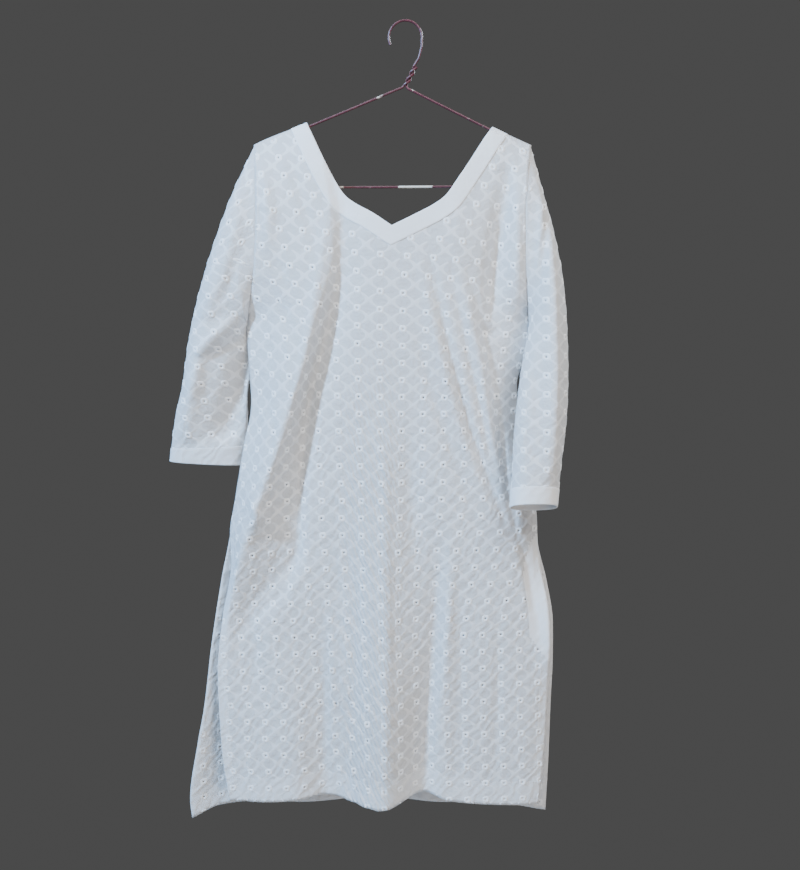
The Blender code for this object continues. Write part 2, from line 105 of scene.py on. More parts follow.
def smooth_through(knots: Array, values: Array, where: Array) -> Array:
    """Reads a cubic that overshoots none of its knots.

    Args:
        knots: Places of the knots, rising along the last axis.
        values: Value at each knot.
        where: Places to read, one for each row of knots or any shape for a single row.

    Returns:
        The values there.
    """
    step = np.diff(knots, axis=-1)
    rise = np.diff(values, axis=-1) / step
    before, after = rise[..., :-1], rise[..., 1:]
    level = before * after <= 0
    inner = np.where(level, 0, 2 * before * after / np.where(level, 1, before + after))
    slope = np.concatenate([rise[..., :1], inner, rise[..., -1:]], axis=-1)
    where = np.clip(where, knots[..., 0], knots[..., -1])
    cell = np.sum(where[..., None] >= knots[..., 1:-1], axis=-1)[..., None]

    def at(table: Array, index: Array) -> Array:
        """Picks one column of the table for each place."""
        full = np.broadcast_to(table, (*where.shape, table.shape[-1]))
        return np.take_along_axis(full, index, axis=-1)[..., 0]

    width = at(step, cell)
    part = (where - at(knots, cell)) / width
    start, end = at(values, cell), at(values, cell + 1)
    leave, arrive = at(slope, cell) * width, at(slope, cell + 1) * width
    bend = 3 * (end - start) - 2 * leave - arrive
    return start + part * (leave + part * (bend + part * (leave + arrive - 2 * (end - start))))


def from_table(table: Table, height: Array) -> Array:
    """Reads a column of (height, value) rows, highest first, at any height."""
    heights, values = np.array(table).T[:, ::-1]
    return smooth_through(heights, values, np.asarray(height, float))


def along(points: Array, count: int) -> Array:
    """Spaces count + 1 points evenly along a smooth curve through the given points.

    Args:
        points: The points, as many numbers each as there are axes.
        count: How many steps the curve is cut into.

    Returns:
        The points along the curve.
    """
    points = np.array(points, float)
    length = np.concatenate([[0], np.cumsum(np.linalg.norm(np.diff(points, axis=0), axis=1))])
    even = np.linspace(0, length[-1], count + 1)
    return np.stack([smooth_through(length, column, even) for column in points.T], axis=-1)


def ease(value: Array) -> Array:
    """Rises smoothly from 0 to 1 as the value does."""
    value = np.clip(value, 0, 1)
    return value * value * (3 - 2 * value)


def between(table: Array, row: Array, column: Array) -> Array:
    """Reads a table of values between its rows and columns.

    Args:
        table: Rows by columns of values.
        row: Row to read, which may lie between two.
        column: Column to read, the same.

    Returns:
        The values there.
    """
    row = np.clip(row, 0, table.shape[0] - 1.001)
    column = np.clip(column, 0, table.shape[1] - 1.001)
    r, c = row.astype(int), column.astype(int)
    v, u = row - r, column - c
    low = table[r, c] * (1 - u) + table[r, c + 1] * u
    high = table[r + 1, c] * (1 - u) + table[r + 1, c + 1] * u
    return low * (1 - v) + high * v


# ---- finishes ----

# The wave texture turns by this many radians in a metre at a scale of 1.
WAVE_RATE = 20
# Where the fine wrinkles fall to the right, across the tunic, and where they deepen, from the hem up.
WRINKLES_ACROSS = (-0.25, 0.15)
WRINKLES_FALL = ((0.38, BLACK), (0.45, WHITE), (0.57, WHITE), (0.63, BLACK))
WRINKLES_UP = (-0.75, -0.30)
WRINKLES_FADE = ((0.35, BLACK), (0.85, WHITE))
# From the front cloth's depth to the back cloth's.
FRONT_TO_BACK = (-0.005, 0.012)
WRINKLE_DISTORTION = 9.0
FALLING_CLOSENESS = 2.0
FALLING_EXTRA = 0.6
FLAT = 0.5


class Nodes:
    """Builds the node tree of one material."""

    def __init__(self, name: str, preview: Colour) -> None:
        """Starts a material that holds a Principled shader alone.

        Args:
            name: Name of the material.
            preview: Its colour in the viewport.
        """
        self.material = bpy.data.materials.new(name)
        self.material.use_nodes = True
        self.material.diffuse_color = (*preview, 1)
        self.tree = self.material.node_tree
        self.shader = self.tree.nodes["Principled BSDF"]

    def add(self, kind: str, **sockets: object) -> bpy.types.Node:
        """Adds a node and sets its inputs by name, with _ for a space.

        Args:
            kind: Blender's name for the node.
            sockets: What each input is linked or set to.

        Returns:
            The new node.
        """
        node = self.tree.nodes.new(kind)
        for name, value in sockets.items():
            self.set(node, name.replace("_", " "), value)
        return node

    def set(self, node: bpy.types.Node, name: str, value: object) -> None:
        """Links a socket to a node's input, or sets a plain value there.

        Args:
            node: The node.
            name: Name of its input.
            value: The socket or the value.
        """
        if isinstance(value, Socket):
            self.tree.links.new(value, node.inputs[name])
        else:
            node.inputs[name].default_value = value

    def cloth_uv(self, scale: tuple[float, float, float]) -> Socket:
        """Gives the piece's own cloth coordinates, scaled.

        Args:
            scale: Scale along X, Y and Z.

        Returns:
            The coordinates.
        """
        place = self.add("ShaderNodeUVMap")
        place.uv_map = "cloth"
        return self.add("ShaderNodeMapping", Vector=place.outputs["UV"], Scale=scale).outputs["Vector"]

    def object_place(self) -> Socket:
        """Gives the place on the object, in metres."""
        return self.add("ShaderNodeTexCoord").outputs["Object"]

    def noise(self, place: Socket, scale: float, detail: float = 2) -> Socket:
        """Gives a noise with that many waves a metre."""
        return self.add("ShaderNodeTexNoise", Vector=place, Scale=scale, Detail=detail).outputs["Fac"]

    def finish(self, **sockets: object) -> bpy.types.Material:
        """Links or sets the shader's inputs by name, with _ for a space.

        Args:
            sockets: What each input is linked or set to.

        Returns:
            The material.
        """
        for name, value in sockets.items():
            self.set(self.shader, name.replace("_", " "), value)
        return self.material

    def waves(
        self, place: Socket, pitch: float, distortion: float, details: tuple[float, float]
    ) -> bpy.types.Node:
        """Makes parallel waves, not quite straight.

        Args:
            place: The coordinates that they run in.
            pitch: Distance from wave to wave, in metres.
            distortion: How far they wander.
            details: How fine that wandering is, and its scale.

        Returns:
            The texture's node.
        """
        wave = self.add("ShaderNodeTexWave", Vector=place, Scale=2 * math.pi / pitch / WAVE_RATE)
        for name, value in (("Distortion", distortion), ("Detail", details[0]), ("Detail Scale", details[1])):
            wave.inputs[name].default_value = value
        return wave

    def threads(self, place: Socket, pitch: float, direction: str) -> Socket:
        """Gives parallel threads across X or Y.

        Args:
            place: The coordinates that they run in.
            pitch: Distance from thread to thread, in metres.
            direction: The axis that they are counted along.

        Returns:
            Their height from 0 to 1.
        """
        wave = self.waves(place, pitch, 1.2, (1.0, 0.4))
        wave.bands_direction = direction
        return wave.outputs["Fac"]

    def wrinkles(self, pitch: float) -> Socket:
        """Gives the height of fine slanting wrinkles, slight above the waist.

        They fall to the right in the front, left of the middle, and rise to the right elsewhere.

        Args:
            pitch: Distance from one rising wrinkle to the next, in metres.

        Returns:
            Their height, 0.5 where the cloth is flat.
        """
        ways = []
        for turn, closeness in ((-RISING_TURN, 1.0), (FALLING_TURN, FALLING_CLOSENESS)):
            around = (0, math.radians(turn), 0)
            turned = self.add("ShaderNodeMapping", Vector=self.object_place(), Rotation=around)
            place, wander = turned.outputs["Vector"], WRINKLE_DISTORTION / closeness
            wave = self.waves(place, pitch / closeness, wander, (2.0, 1.1)).outputs["Fac"]
            ways.append(self.sum_of(wave, wave, FALLING_EXTRA * (closeness - 1)))
        across, depth, height = self.add("ShaderNodeSeparateXYZ", Vector=self.object_place()).outputs
        falling = self.ramp(self.spread(across, *WRINKLES_ACROSS), WRINKLES_FALL)
        slanted = self.mix(self.mix(self.spread(depth, *FRONT_TO_BACK), falling, 0.0), *ways)
        return self.mix(self.ramp(self.spread(height, *WRINKLES_UP), WRINKLES_FADE), slanted, FLAT)

    def spread(self, value: Socket, start: float, end: float) -> Socket:
        """Spreads a value over 0 to 1.

        Args:
            value: The value.
            start: Where the result is 0.
            end: Where the result is 1, which may be lower.

        Returns:
            The result, never below 0 or above 1.
        """
        spread = self.add("ShaderNodeMapRange", Value=value)
        spread.inputs["From Min"].default_value = start
        spread.inputs["From Max"].default_value = end
        return spread.outputs["Result"]

    def mix(self, share: Socket, first: Socket, second: Socket | float) -> Socket:
        """Mixes two values.

        Args:
            share: Share of the second value.
            first: The first value.
            second: The second value, linked or plain.

        Returns:
            The mixture.
        """
        mix = self.tree.nodes.new("ShaderNodeMix")
        self.tree.links.new(share, mix.inputs[0])
        self.tree.links.new(first, mix.inputs[2])
        if isinstance(second, Socket):
            self.tree.links.new(second, mix.inputs[3])
        else:
            mix.inputs[3].default_value = second
        return mix.outputs[0]

    def sum_of(self, first: Socket, second: Socket, share: float) -> Socket:
        """Adds a share of one value to another.

        Args:
            first: The value that is kept whole.
            second: The value that is added.
            share: How much of the second is added.

        Returns:
            The sum.
        """
        node = self.tree.nodes.new("ShaderNodeMath")
        node.operation = "MULTIPLY_ADD"
        self.tree.links.new(second, node.inputs[0])
        node.inputs[1].default_value = share
        self.tree.links.new(first, node.inputs[2])
        return node.outputs[0]

    def ramp(self, value: Socket, stops: tuple[tuple[float, Colour], ...]) -> Socket:
        """Turns a value into a colour.

        Args:
            value: The value.
            stops: Each stop as its place and its colour, in rising order.

        Returns:
            The colour.
        """
        node = self.add("ShaderNodeValToRGB", Fac=value)
        marks = node.color_ramp.elements
        while len(marks) < len(stops):
            marks.new(0.5)
        for mark, (place, colour) in zip(marks, stops):
            mark.position = place
            mark.color = (*colour, 1)
        return node.outputs["Color"]

    def near(self, place: Socket, middle: tuple[float, float, float], reach: float) -> Socket:
        """Gives 1 at a middle point, and less away from it.

        Args:
            place: The coordinates that it reads.
            middle: The middle point.
            reach: Distance at which nothing is left.

        Returns:
            The nearness.
        """
        gap = self.add("ShaderNodeVectorMath")
        gap.operation = "DISTANCE"
        self.tree.links.new(place, gap.inputs[0])
        gap.inputs[1].default_value = middle
        return self.spread(gap.outputs["Value"], reach, 0.0)

    def bump(self, height: Socket, distance: float, under: Socket | None = None) -> Socket:
        """Gives a normal raised by a height.

        Args:
            height: The height, from 0 to 1.
            distance: How far a height of 1 stands up, in metres.
            under: Another bump that this one lies on.

        Returns:
            The normal.
        """
        node = self.add("ShaderNodeBump", Height=height, Distance=distance, Strength=1.0)
        if under is not None:
            self.tree.links.new(under, node.inputs["Normal"])
        return node.outputs["Normal"]


def scaled(colour: Colour, share: float) -> Colour:
    """A colour made darker, or lighter up to white."""
    return tuple(min(channel * share, 1) for channel in colour)


@dataclass(frozen=True)
class Cotton:
    """Plain woven cotton: its colour, its thread count and how much it puckers.

    A pitch is the distance from one thread, pucker or wrinkle to the next, and a depth is how far
    it stands up. A rate is how many slubs or clouds of tone there are in a metre.
    """

    name: str
    colour: Colour
    shade: float = 0.035
    light: float = 0.021
    roughness: float = 0.88
    specular: float = 0.25
    sheen: float = 0.12
    thread_pitch: float = 0.42 * MM
    weave_depth: float = 0.05 * MM
    slub_rate: float = 900
    slub_length: float = 4
    slub_tone: float = 0.35
    slub_height: float = 0.8
    cloud_rate: float = 24
    pucker_pitch: float = 9 * MM
    pucker_depth: float = 0.55 * MM
    crumple_size: float = 1 / 0.28
    crumple_height: float = 1.6
    wrinkle_pitch: float = 12 * MM
    wrinkle_depth: float = 0.3 * MM

    def weave(self, nodes: Nodes, place: Socket, slub: Socket) -> Socket:
        """Gives the normal of the woven threads.

        Args:
            nodes: The material's nodes.
            place: The cloth coordinates.
            slub: The uneven thickness of the threads.

        Returns:
            The normal.
        """
        warp, weft = (nodes.threads(place, self.thread_pitch, axis) for axis in "XY")
        crossed = nodes.sum_of(warp, weft, 1.0)
        return nodes.bump(nodes.sum_of(crossed, slub, self.slub_height), self.weave_depth)

    def material(self) -> bpy.types.Material:
        """Makes the material.

        Returns:
            The finish, its colour and its normal built up from the weave to the puckers.
        """
        nodes = Nodes(self.name, self.colour)
        place = nodes.cloth_uv((1, 1, 1))
        slub = nodes.noise(nodes.cloth_uv((1, 1 / self.slub_length, 1)), self.slub_rate)
        pucker = nodes.noise(place, 1 / self.pucker_pitch, 4)
        crumple = nodes.noise(place, 1 / (self.crumple_size * self.pucker_pitch), 2)
        tone = nodes.sum_of(nodes.noise(place, self.cloud_rate, 3), slub, self.slub_tone)
        tones = ((0.45, scaled(self.colour, 1 - self.shade)), (0.85, scaled(self.colour, 1 + self.light)))
        fine = self.weave(nodes, place, slub)
        wrinkled = nodes.bump(nodes.wrinkles(self.wrinkle_pitch), self.wrinkle_depth, fine)
        puckered = nodes.sum_of(pucker, crumple, self.crumple_height)
        return nodes.finish(
            Base_Color=nodes.ramp(tone, tones),
            Normal=nodes.bump(puckered, self.pucker_depth, wrinkled),
            Roughness=self.roughness,
            Specular_IOR_Level=self.specular,
            Sheen_Weight=self.sheen,
            Sheen_Roughness=0.5,
        )


@dataclass(frozen=True)
class Thread:
    """Twisted cotton thread, laid side by side."""

    name: str
    colour: Colour
    shade: float = 0.06
    roughness: float = 0.62
    sheen: float = 0.2
    strand_pitch: float = 0.55 * MM
    strand_depth: float = 0.10 * MM
    wrinkle_pitch: float = 12 * MM
    wrinkle_depth: float = 0.3 * MM

    def material(self) -> bpy.types.Material:
        """Makes the material.

        Returns:
            The finish, its strands lying over the cloth's own wrinkles.
        """
        nodes = Nodes(self.name, self.colour)
        strands = nodes.noise(nodes.object_place(), 1 / self.strand_pitch, 1)
        laid = nodes.bump(strands, self.strand_depth)
        return nodes.finish(
            Base_Color=nodes.ramp(strands, ((0.3, scaled(self.colour, 1 - self.shade)), (0.7, self.colour))),
            Normal=nodes.bump(nodes.wrinkles(self.wrinkle_pitch), self.wrinkle_depth, laid),
            Roughness=self.roughness,
            Sheen_Weight=self.sheen,
        )


@dataclass(frozen=True)
class CoatedWire:
    """Steel wire in a maroon plastic coat, chipped to a cream undercoat at random; cream patches at given
    places are painted highlights.

    A rate is how many grains, chipped spots or mottles there are in a metre.
    """

    name: str
    colour: Colour
    undercoat_and_glint: Colour
    # Places where cream patches are painted as highlights, how far each reaches, and how much it adds to the
    # chipping.
    glint_places: tuple[tuple[float, float, float], ...]
    glint_reach: float = 26 * MM
    glint_extra: float = 0.35
    grain_rate: float = 1600
    grain_share: float = 0.12
    wear_rate: float = 55
    mottle_rate: float = 260
    mottle_shade: float = 0.4
    rough_depth: float = 0.12 * MM
    roughness: float = 0.42

    def material(self) -> bpy.types.Material:
        """Makes the material.

        Returns:
            The finish, its coat chipped by chance all over, with cream patches painted as highlights round
            the glint places.
        """
        nodes = Nodes(self.name, self.colour)
        place = nodes.object_place()
        grain = nodes.noise(place, self.grain_rate, 2)
        wear = nodes.noise(place, self.wear_rate, 4)
        mottles = ((0.35, scaled(self.colour, 1 - self.mottle_shade)), (0.65, self.colour))
        coat = nodes.ramp(nodes.noise(place, self.mottle_rate, 3), mottles)
        bare = nodes.sum_of(wear, grain, self.grain_share)
        # Painted highlights: the chipping mask is raised round each glint place, so the cream shows there.
        for glint_place in self.glint_places:
            bare = nodes.sum_of(bare, nodes.near(place, glint_place, self.glint_reach), self.glint_extra)
        mix = nodes.tree.nodes.new("ShaderNodeMix")
        mix.data_type = "RGBA"
        nodes.tree.links.new(nodes.ramp(bare, ((0.71, BLACK), (0.75, WHITE))), mix.inputs[0])
        nodes.tree.links.new(coat, mix.inputs[6])
        # The cream undercoat colour, shown in the random chips and in the patches painted as highlights.
        mix.inputs[7].default_value = (*self.undercoat_and_glint, 1)
        rough = nodes.bump(nodes.sum_of(grain, wear, 0.6), self.rough_depth)
        return nodes.finish(Base_Color=mix.outputs[2], Normal=rough, Roughness=self.roughness)


@dataclass(frozen=True)
class Paint:
    """A matt surface for the studio's floor, slightly cloudy."""

    name: str
    colour: Colour
    shade: float = 0.03
    cloud_rate: float = 3
    roughness: float = 0.9

    def material(self) -> bpy.types.Material:
        """Makes the material.

        Returns:
            The finish.
        """
        nodes = Nodes(self.name, self.colour)
        clouds = nodes.noise(nodes.object_place(), self.cloud_rate, 3)
        tones = ((0.3, scaled(self.colour, 1 - self.shade)), (0.7, self.colour))
        return nodes.finish(Base_Color=nodes.ramp(clouds, tones), Roughness=self.roughness)


EYELET_COTTON = Cotton(
    "eyelet_cotton",
    (0.61, 0.618, 0.63),
    pucker_pitch=5.5 * MM,
    pucker_depth=1.05 * MM,
    wrinkle_depth=0.5 * MM,
)
# Cotton for the turned edges of the slits and hem. It is also the left cuff band's colour, where its darkness
# is painted shade.
TURNED_AND_SHADED_COTTON = Cotton("turned_and_shaded_cotton", (0.70, 0.71, 0.725), pucker_depth=0.9 * MM, wrinkle_depth=0.5 * MM)
BAND_COTTON = Cotton(
    "band_cotton",
    (0.84, 0.848, 0.86),
    pucker_pitch=6 * MM,
    pucker_depth=0.5 * MM,
    wrinkle_depth=0.2 * MM,
)
SATIN_THREAD = Thread("white_satin_thread", (0.86, 0.868, 0.88))
OPEN_THREAD = Thread("white_open_stitches", (0.72, 0.728, 0.741), wrinkle_depth=0.5 * MM)
SEWING_THREAD = Thread("white_sewing_thread", (0.88, 0.89, 0.90), strand_pitch=0.3 * MM)
# Places on the hanger's bar and left arm where cream patches are painted as highlights on the wire.
GLINT_PLACES = ((0.002, 0.0, -0.220), (0.020, 0.0, -0.220), (-0.082, 0.0, -0.164))
MAROON_WIRE = CoatedWire("maroon_coated_wire", (0.10, 0.020, 0.034), (0.60, 0.57, 0.50), GLINT_PLACES)


# ---- meshes ----


def finished_object(name: str, bm: bmesh.types.BMesh, *finishes: bpy.types.Material) -> bpy.types.Object:
    """Turns a bmesh into a smooth object with its finishes, and frees the bmesh.

    Args:
        name: Name of the piece.
        bm: Its mesh, freed here.
        finishes: Its materials, in the order of its slots.

    Returns:
        The piece.
    """
    mesh = bpy.data.meshes.new(name)
    bm.to_mesh(mesh)
    bm.free()
    mesh.shade_smooth()
    for finish in finishes:
        mesh.materials.append(finish)
    made = bpy.data.objects.new(name, mesh)
    bpy.context.scene.collection.objects.link(made)
    return made


def shape_mesh(name: str, bm: bmesh.types.BMesh) -> tuple[bpy.types.Mesh, Array]:
    """Turns a bmesh into a mesh to copy from, and gives its points.

    Args:
        name: Name of the mesh.
        bm: The shape, freed here.

    Returns:
        The mesh, and its points.
    """
    mesh = bpy.data.meshes.new(name)
    bm.to_mesh(mesh)
    bm.free()
    return mesh, np.array([vert.co for vert in mesh.vertices])


def joined_copies(
    shape: bpy.types.Mesh, places: Array, keep: Array, mirror: bool = False
) -> bmesh.types.BMesh:
    """Joins many copies of a small shape.

    Args:
        shape: What is repeated.
        places: Copies by points of the shape by 3: where each point goes.
        keep: Copies by points: which points stay.
        mirror: Whether the copies are seen in a mirror, so that their faces turn over.

    Returns:
        All the copies in one bmesh.
    """
    bm = bmesh.new()
    for _ in range(len(places)):
        bm.from_mesh(shape)
    for vert, place in zip(bm.verts, places.reshape(-1, 3)):
        vert.co = place
    lost = [vert for vert, stays in zip(bm.verts, keep.ravel()) if not stays]
    bmesh.ops.delete(bm, geom=lost, context="VERTS")
    if mirror:
        bmesh.ops.reverse_faces(bm, faces=bm.faces)
    return bm


def cloth_grid(points: Array, chart: Array, closed: bool = False) -> bmesh.types.BMesh:
    """Lays a grid of cloth through rows of points.

    Args:
        points: Rows by columns by 3 places.
        chart: Rows by columns by 2 cloth coordinates, in metres.
        closed: Whether the last column meets the first.

    Returns:
        A bmesh whose UV map "cloth" holds the cloth coordinates.
    """
    rows, columns = points.shape[0] - 1, points.shape[1] - 1
    bm = bmesh.new()
    bmesh.ops.create_grid(bm, x_segments=columns, y_segments=rows, size=0.5)
    layer = bm.loops.layers.uv.new("cloth")
    across = np.round((np.array([vert.co.x for vert in bm.verts]) + 0.5) * columns).astype(int)
    down = np.round((0.5 - np.array([vert.co.y for vert in bm.verts])) * rows).astype(int)
    for vert, column, row in zip(bm.verts, across, down):
        vert.co = points[row, column]
    for vert, column, row in zip(bm.verts, across, down):
        for loop in vert.link_loops:
            loop[layer].uv = chart[row, column]
    if closed:
        bmesh.ops.remove_doubles(bm, verts=bm.verts, dist=1e-6)
    bm.normal_update()
    return bm


def face_out(bm: bmesh.types.BMesh, outward: Array) -> None:
    """Turns a grid's faces so that most of them point outwards.

    Args:
        bm: The grid.
        outward: The way out, one for all the faces or one for each.
    """
    normals = np.array([face.normal for face in bm.faces])
    if np.sum(normals * outward) < 0:
        bmesh.ops.reverse_faces(bm, faces=bm.faces)
    bm.normal_update()


def add_wall(piece: bpy.types.Object, thickness: float) -> None:
    """Gives a sheet its thickness, inwards from its outer face.

    Args:
        piece: The sheet.
        thickness: Thickness of the cloth, in metres.
    """
    solid = piece.modifiers.new("Wall", "SOLIDIFY")
    solid.thickness = thickness
    solid.offset = -1
    solid.use_rim = True


# ---- cloth ----

SEAM_HALF = 1.35 * MM
TURN = 0.06
TURN_KEPT = ((-0.60, 1.0), (-1.10, 0.3))
STAND_OFF_DROP = 0.030
STAND_OFF_POWER = 0.75
LEFT_SHOULDER: Table = ((-0.206, -0.1585), (-0.19, -0.1512), (-0.133, -0.13))
RIGHT_SHOULDER: Table = ((0.1165, -0.138), (0.14, -0.149), (0.169, -0.162))
FRONT_NECK_LEFT: Table = (
    (-0.133, -0.13), (-0.1265, -0.144), (-0.1065, -0.186), (-0.095, -0.2075), (-0.0795, -0.23),
    (-0.064, -0.241), (-0.0445, -0.2515), (-0.018, -0.269),
)
FRONT_NECK_RIGHT: Table = (
    (-0.018, -0.269), (0.0183, -0.2514), (0.0383, -0.2409), (0.0532, -0.23), (0.0695, -0.2075),
    (0.0842, -0.186), (0.105, -0.154), (0.1165, -0.138),
)
BACK_NECK_LEFT: Table = (*FRONT_NECK_LEFT[:5], (-0.062, -0.249), (-0.041, -0.265), (-0.017, -0.271))
BACK_NECK_RIGHT: Table = ((-0.017, -0.271), (0.008, -0.2655), (0.033, -0.249), *FRONT_NECK_RIGHT[3:])
LEFT_ARMHOLE: Table = (
    (-0.1585, -0.206), (-0.2, -0.203), (-0.25, -0.202), (-0.31, -0.205), (-0.36, -0.213),
    (-0.398, -0.2205),
)
RIGHT_ARMHOLE: Table = (
    (-0.162, 0.169), (-0.2, 0.164), (-0.25, 0.161), (-0.31, 0.162), (-0.36, 0.166), (-0.398, 0.17),
)
LEFT_SIDE: Table = (
    (-0.43, -0.2195), (-0.468, -0.2178), (-0.507, -0.216), (-0.524, -0.2172), (-0.536, -0.2192),
    (-0.56, -0.2256), (-0.596, -0.2325), (-0.62, -0.2368), (-0.65, -0.242), (-0.7, -0.25),
)
RIGHT_SIDE: Table = (
    (-0.43, 0.169), (-0.448, 0.1645), (-0.4826, 0.1545), (-0.505, 0.156), (-0.5226, 0.158),
    (-0.54, 0.1595), (-0.575, 0.165), (-0.6203, 0.1755), (-0.669, 0.185), (-0.7, 0.1865),
)
FRONT_LEFT_SLIT: Table = (
    (-0.74, -0.2485), (-0.82, -0.261), (-0.9, -0.2685), (-1.015, -0.264), (-1.088, -0.254),
)
FRONT_RIGHT_SLIT: Table = (
    (-0.74, 0.191), (-0.8, 0.201), (-0.85, 0.2035), (-0.97, 0.2015), (-1.088, 0.193),
)
BACK_LEFT_SLIT: Table = (
    (-0.769, -0.2642), (-0.8645, -0.2792), (-0.961, -0.2915), (-1.0105, -0.3015), (-1.097, -0.315),
    (-1.124, -0.313),
)
BACK_RIGHT_SLIT: Table = (
    (-0.765, 0.2016), (-0.824, 0.2114), (-0.883, 0.2125), (-0.944, 0.2109), (-1.03, 0.2096),
    (-1.112, 0.207),
)
ARMHOLE_DEPTH: Table = (
    (-0.16, 0.004), (-0.172, 0.014), (-0.2, 0.022), (-0.25, 0.028), (-0.31, 0.027), (-0.36, 0.016),
    (-0.398, 0.0),
)
FRONT_SLIT_DEPTH: Table = ((-0.7, 0.0), (-0.78, 0.008), (-0.86, 0.016), (-1.088, 0.02))
BACK_SLIT_DEPTH: Table = ((-0.7, 0.0), (-0.82, 0.003), (-1.124, 0.006))
FRONT_HEIGHTS = (-0.16, -0.30, -0.40, -0.52, -0.62, -0.72, -0.84, -0.96, -1.09)
BACK_HEIGHTS = (-0.16, -0.30, -0.45, -0.62, -0.80, -0.96, -1.12)
COLUMNS_FOLLOW = (-0.22, -0.36)
NECK_BAND = 23 * MM
CUFF_BAND = 24 * MM
HEM_TURN = 36 * MM
SLIT_TOP = -0.695
SLIT_TURN = 14 * MM
SLIT_FADE = 0.05
SLIT_DROP = 0.03
SEAM_FADE = 14 * MM
RIPPLE_PITCH = 18 * MM
# Where the ripples start below the waist, over how far they grow, and where they fall to the right.
RIPPLES_START, RIPPLES_GROW = -0.42, 0.28
RIPPLES_FALL, RIPPLES_TURN_OVER = (-0.11, -0.003), 0.03
RISING_GAIN, RISING_LOSS, RISING_LOSS_OVER = 0.6, 0.25, 0.05


def middle_sheet(across: Array, height: Array) -> Array:
    """How far back the tunic's middle sheet lies: the turn about the hook."""
    kept = np.interp(-height, [-TURN_KEPT[0][0], -TURN_KEPT[1][0]], [TURN_KEPT[0][1], TURN_KEPT[1][1]])
    return -TURN * across * kept


def shoulder_height(across: Array) -> Array:
    """The shoulder line, carried straight over the neck."""
    line = np.array(LEFT_SHOULDER + RIGHT_SHOULDER)
    return np.interp(across, line[:, 0], line[:, 1])


@dataclass(frozen=True)
class FoldLine:
    """A long fold: its place across and its depth forward, in millimetres, at each of its panel's heights."""

    name: str
    column: int
    across: tuple[float, ...]
    depth: tuple[float, ...]


@dataclass(frozen=True)
class Crease:
    """A soft ridge along (across, height) points, or a trough for a negative peak, all in millimetres."""

    peak: float
    width: float
    path: Table

    def lift(self, across: Array, height: Array) -> Array:
        """How far the cloth is lifted at each place.

        Args:
            across: Places across, in metres.
            height: Their heights, in metres.

        Returns:
            The lift, in metres.
        """
        points = np.array(self.path) * MM
        lengths = np.linalg.norm(np.diff(points, axis=0), axis=1)
        begin = np.concatenate([[0], np.cumsum(lengths)])
        nearest = np.full(np.shape(across), np.inf)
        share = np.zeros(np.shape(across))
        for index, length in enumerate(lengths):
            way = (points[index + 1] - points[index]) / length
            off = (across - points[index, 0], height - points[index, 1])
            run = np.clip(off[0] * way[0] + off[1] * way[1], 0, length)
            gap = np.hypot(off[0] - run * way[0], off[1] - run * way[1])
            closer = gap < nearest
            nearest = np.where(closer, gap, nearest)
            share = np.where(closer, (begin[index] + run) / begin[-1], share)
        taper = np.sin(math.pi * np.clip(share, 0.04, 0.96)) ** 0.7
        return self.peak * MM * taper * np.exp(-((nearest / (self.width * MM)) ** 2))


def ripples(across: Array, height: Array, falling_gain: float) -> Array:
    """Small uneven slanting waves below the waist.

    They fall to the right left of the middle and rise to the right elsewhere.

    Args:
        across: Places across, in metres.
        height: Their heights, in metres.
        falling_gain: Strength of the waves that fall to the right.

    Returns:
        The waves' heights, up to about 1 for a strength of 1.
    """
    # The waves' phase and strength wander by waves of no common pitch.
    start, end = RIPPLES_FALL
    falling = ease((across - start) / RIPPLES_TURN_OVER) * ease((end - across) / RIPPLES_TURN_OVER)
    stray = 2.2 * np.sin(31 * across + 17 * height) + 1.7 * np.sin(41 * height - 23 * across)
    patchy = 0.7 + 0.5 * np.sin(19 * across - 27 * height) * np.sin(33 * height + 14 * across)
    fall, rise = (
        np.sin(2 * math.pi * (across * math.cos(turn) + height * math.sin(turn)) / RIPPLE_PITCH + stray)
        for turn in (math.radians(FALLING_TURN), -math.radians(RISING_TURN))
    )
    rising = (1 - falling) * (RISING_GAIN - RISING_LOSS * ease(across / RISING_LOSS_OVER))
    grown = patchy * ease((RIPPLES_START - height) / RIPPLES_GROW)
    return grown * (fall * falling * falling_gain + rise * rising)


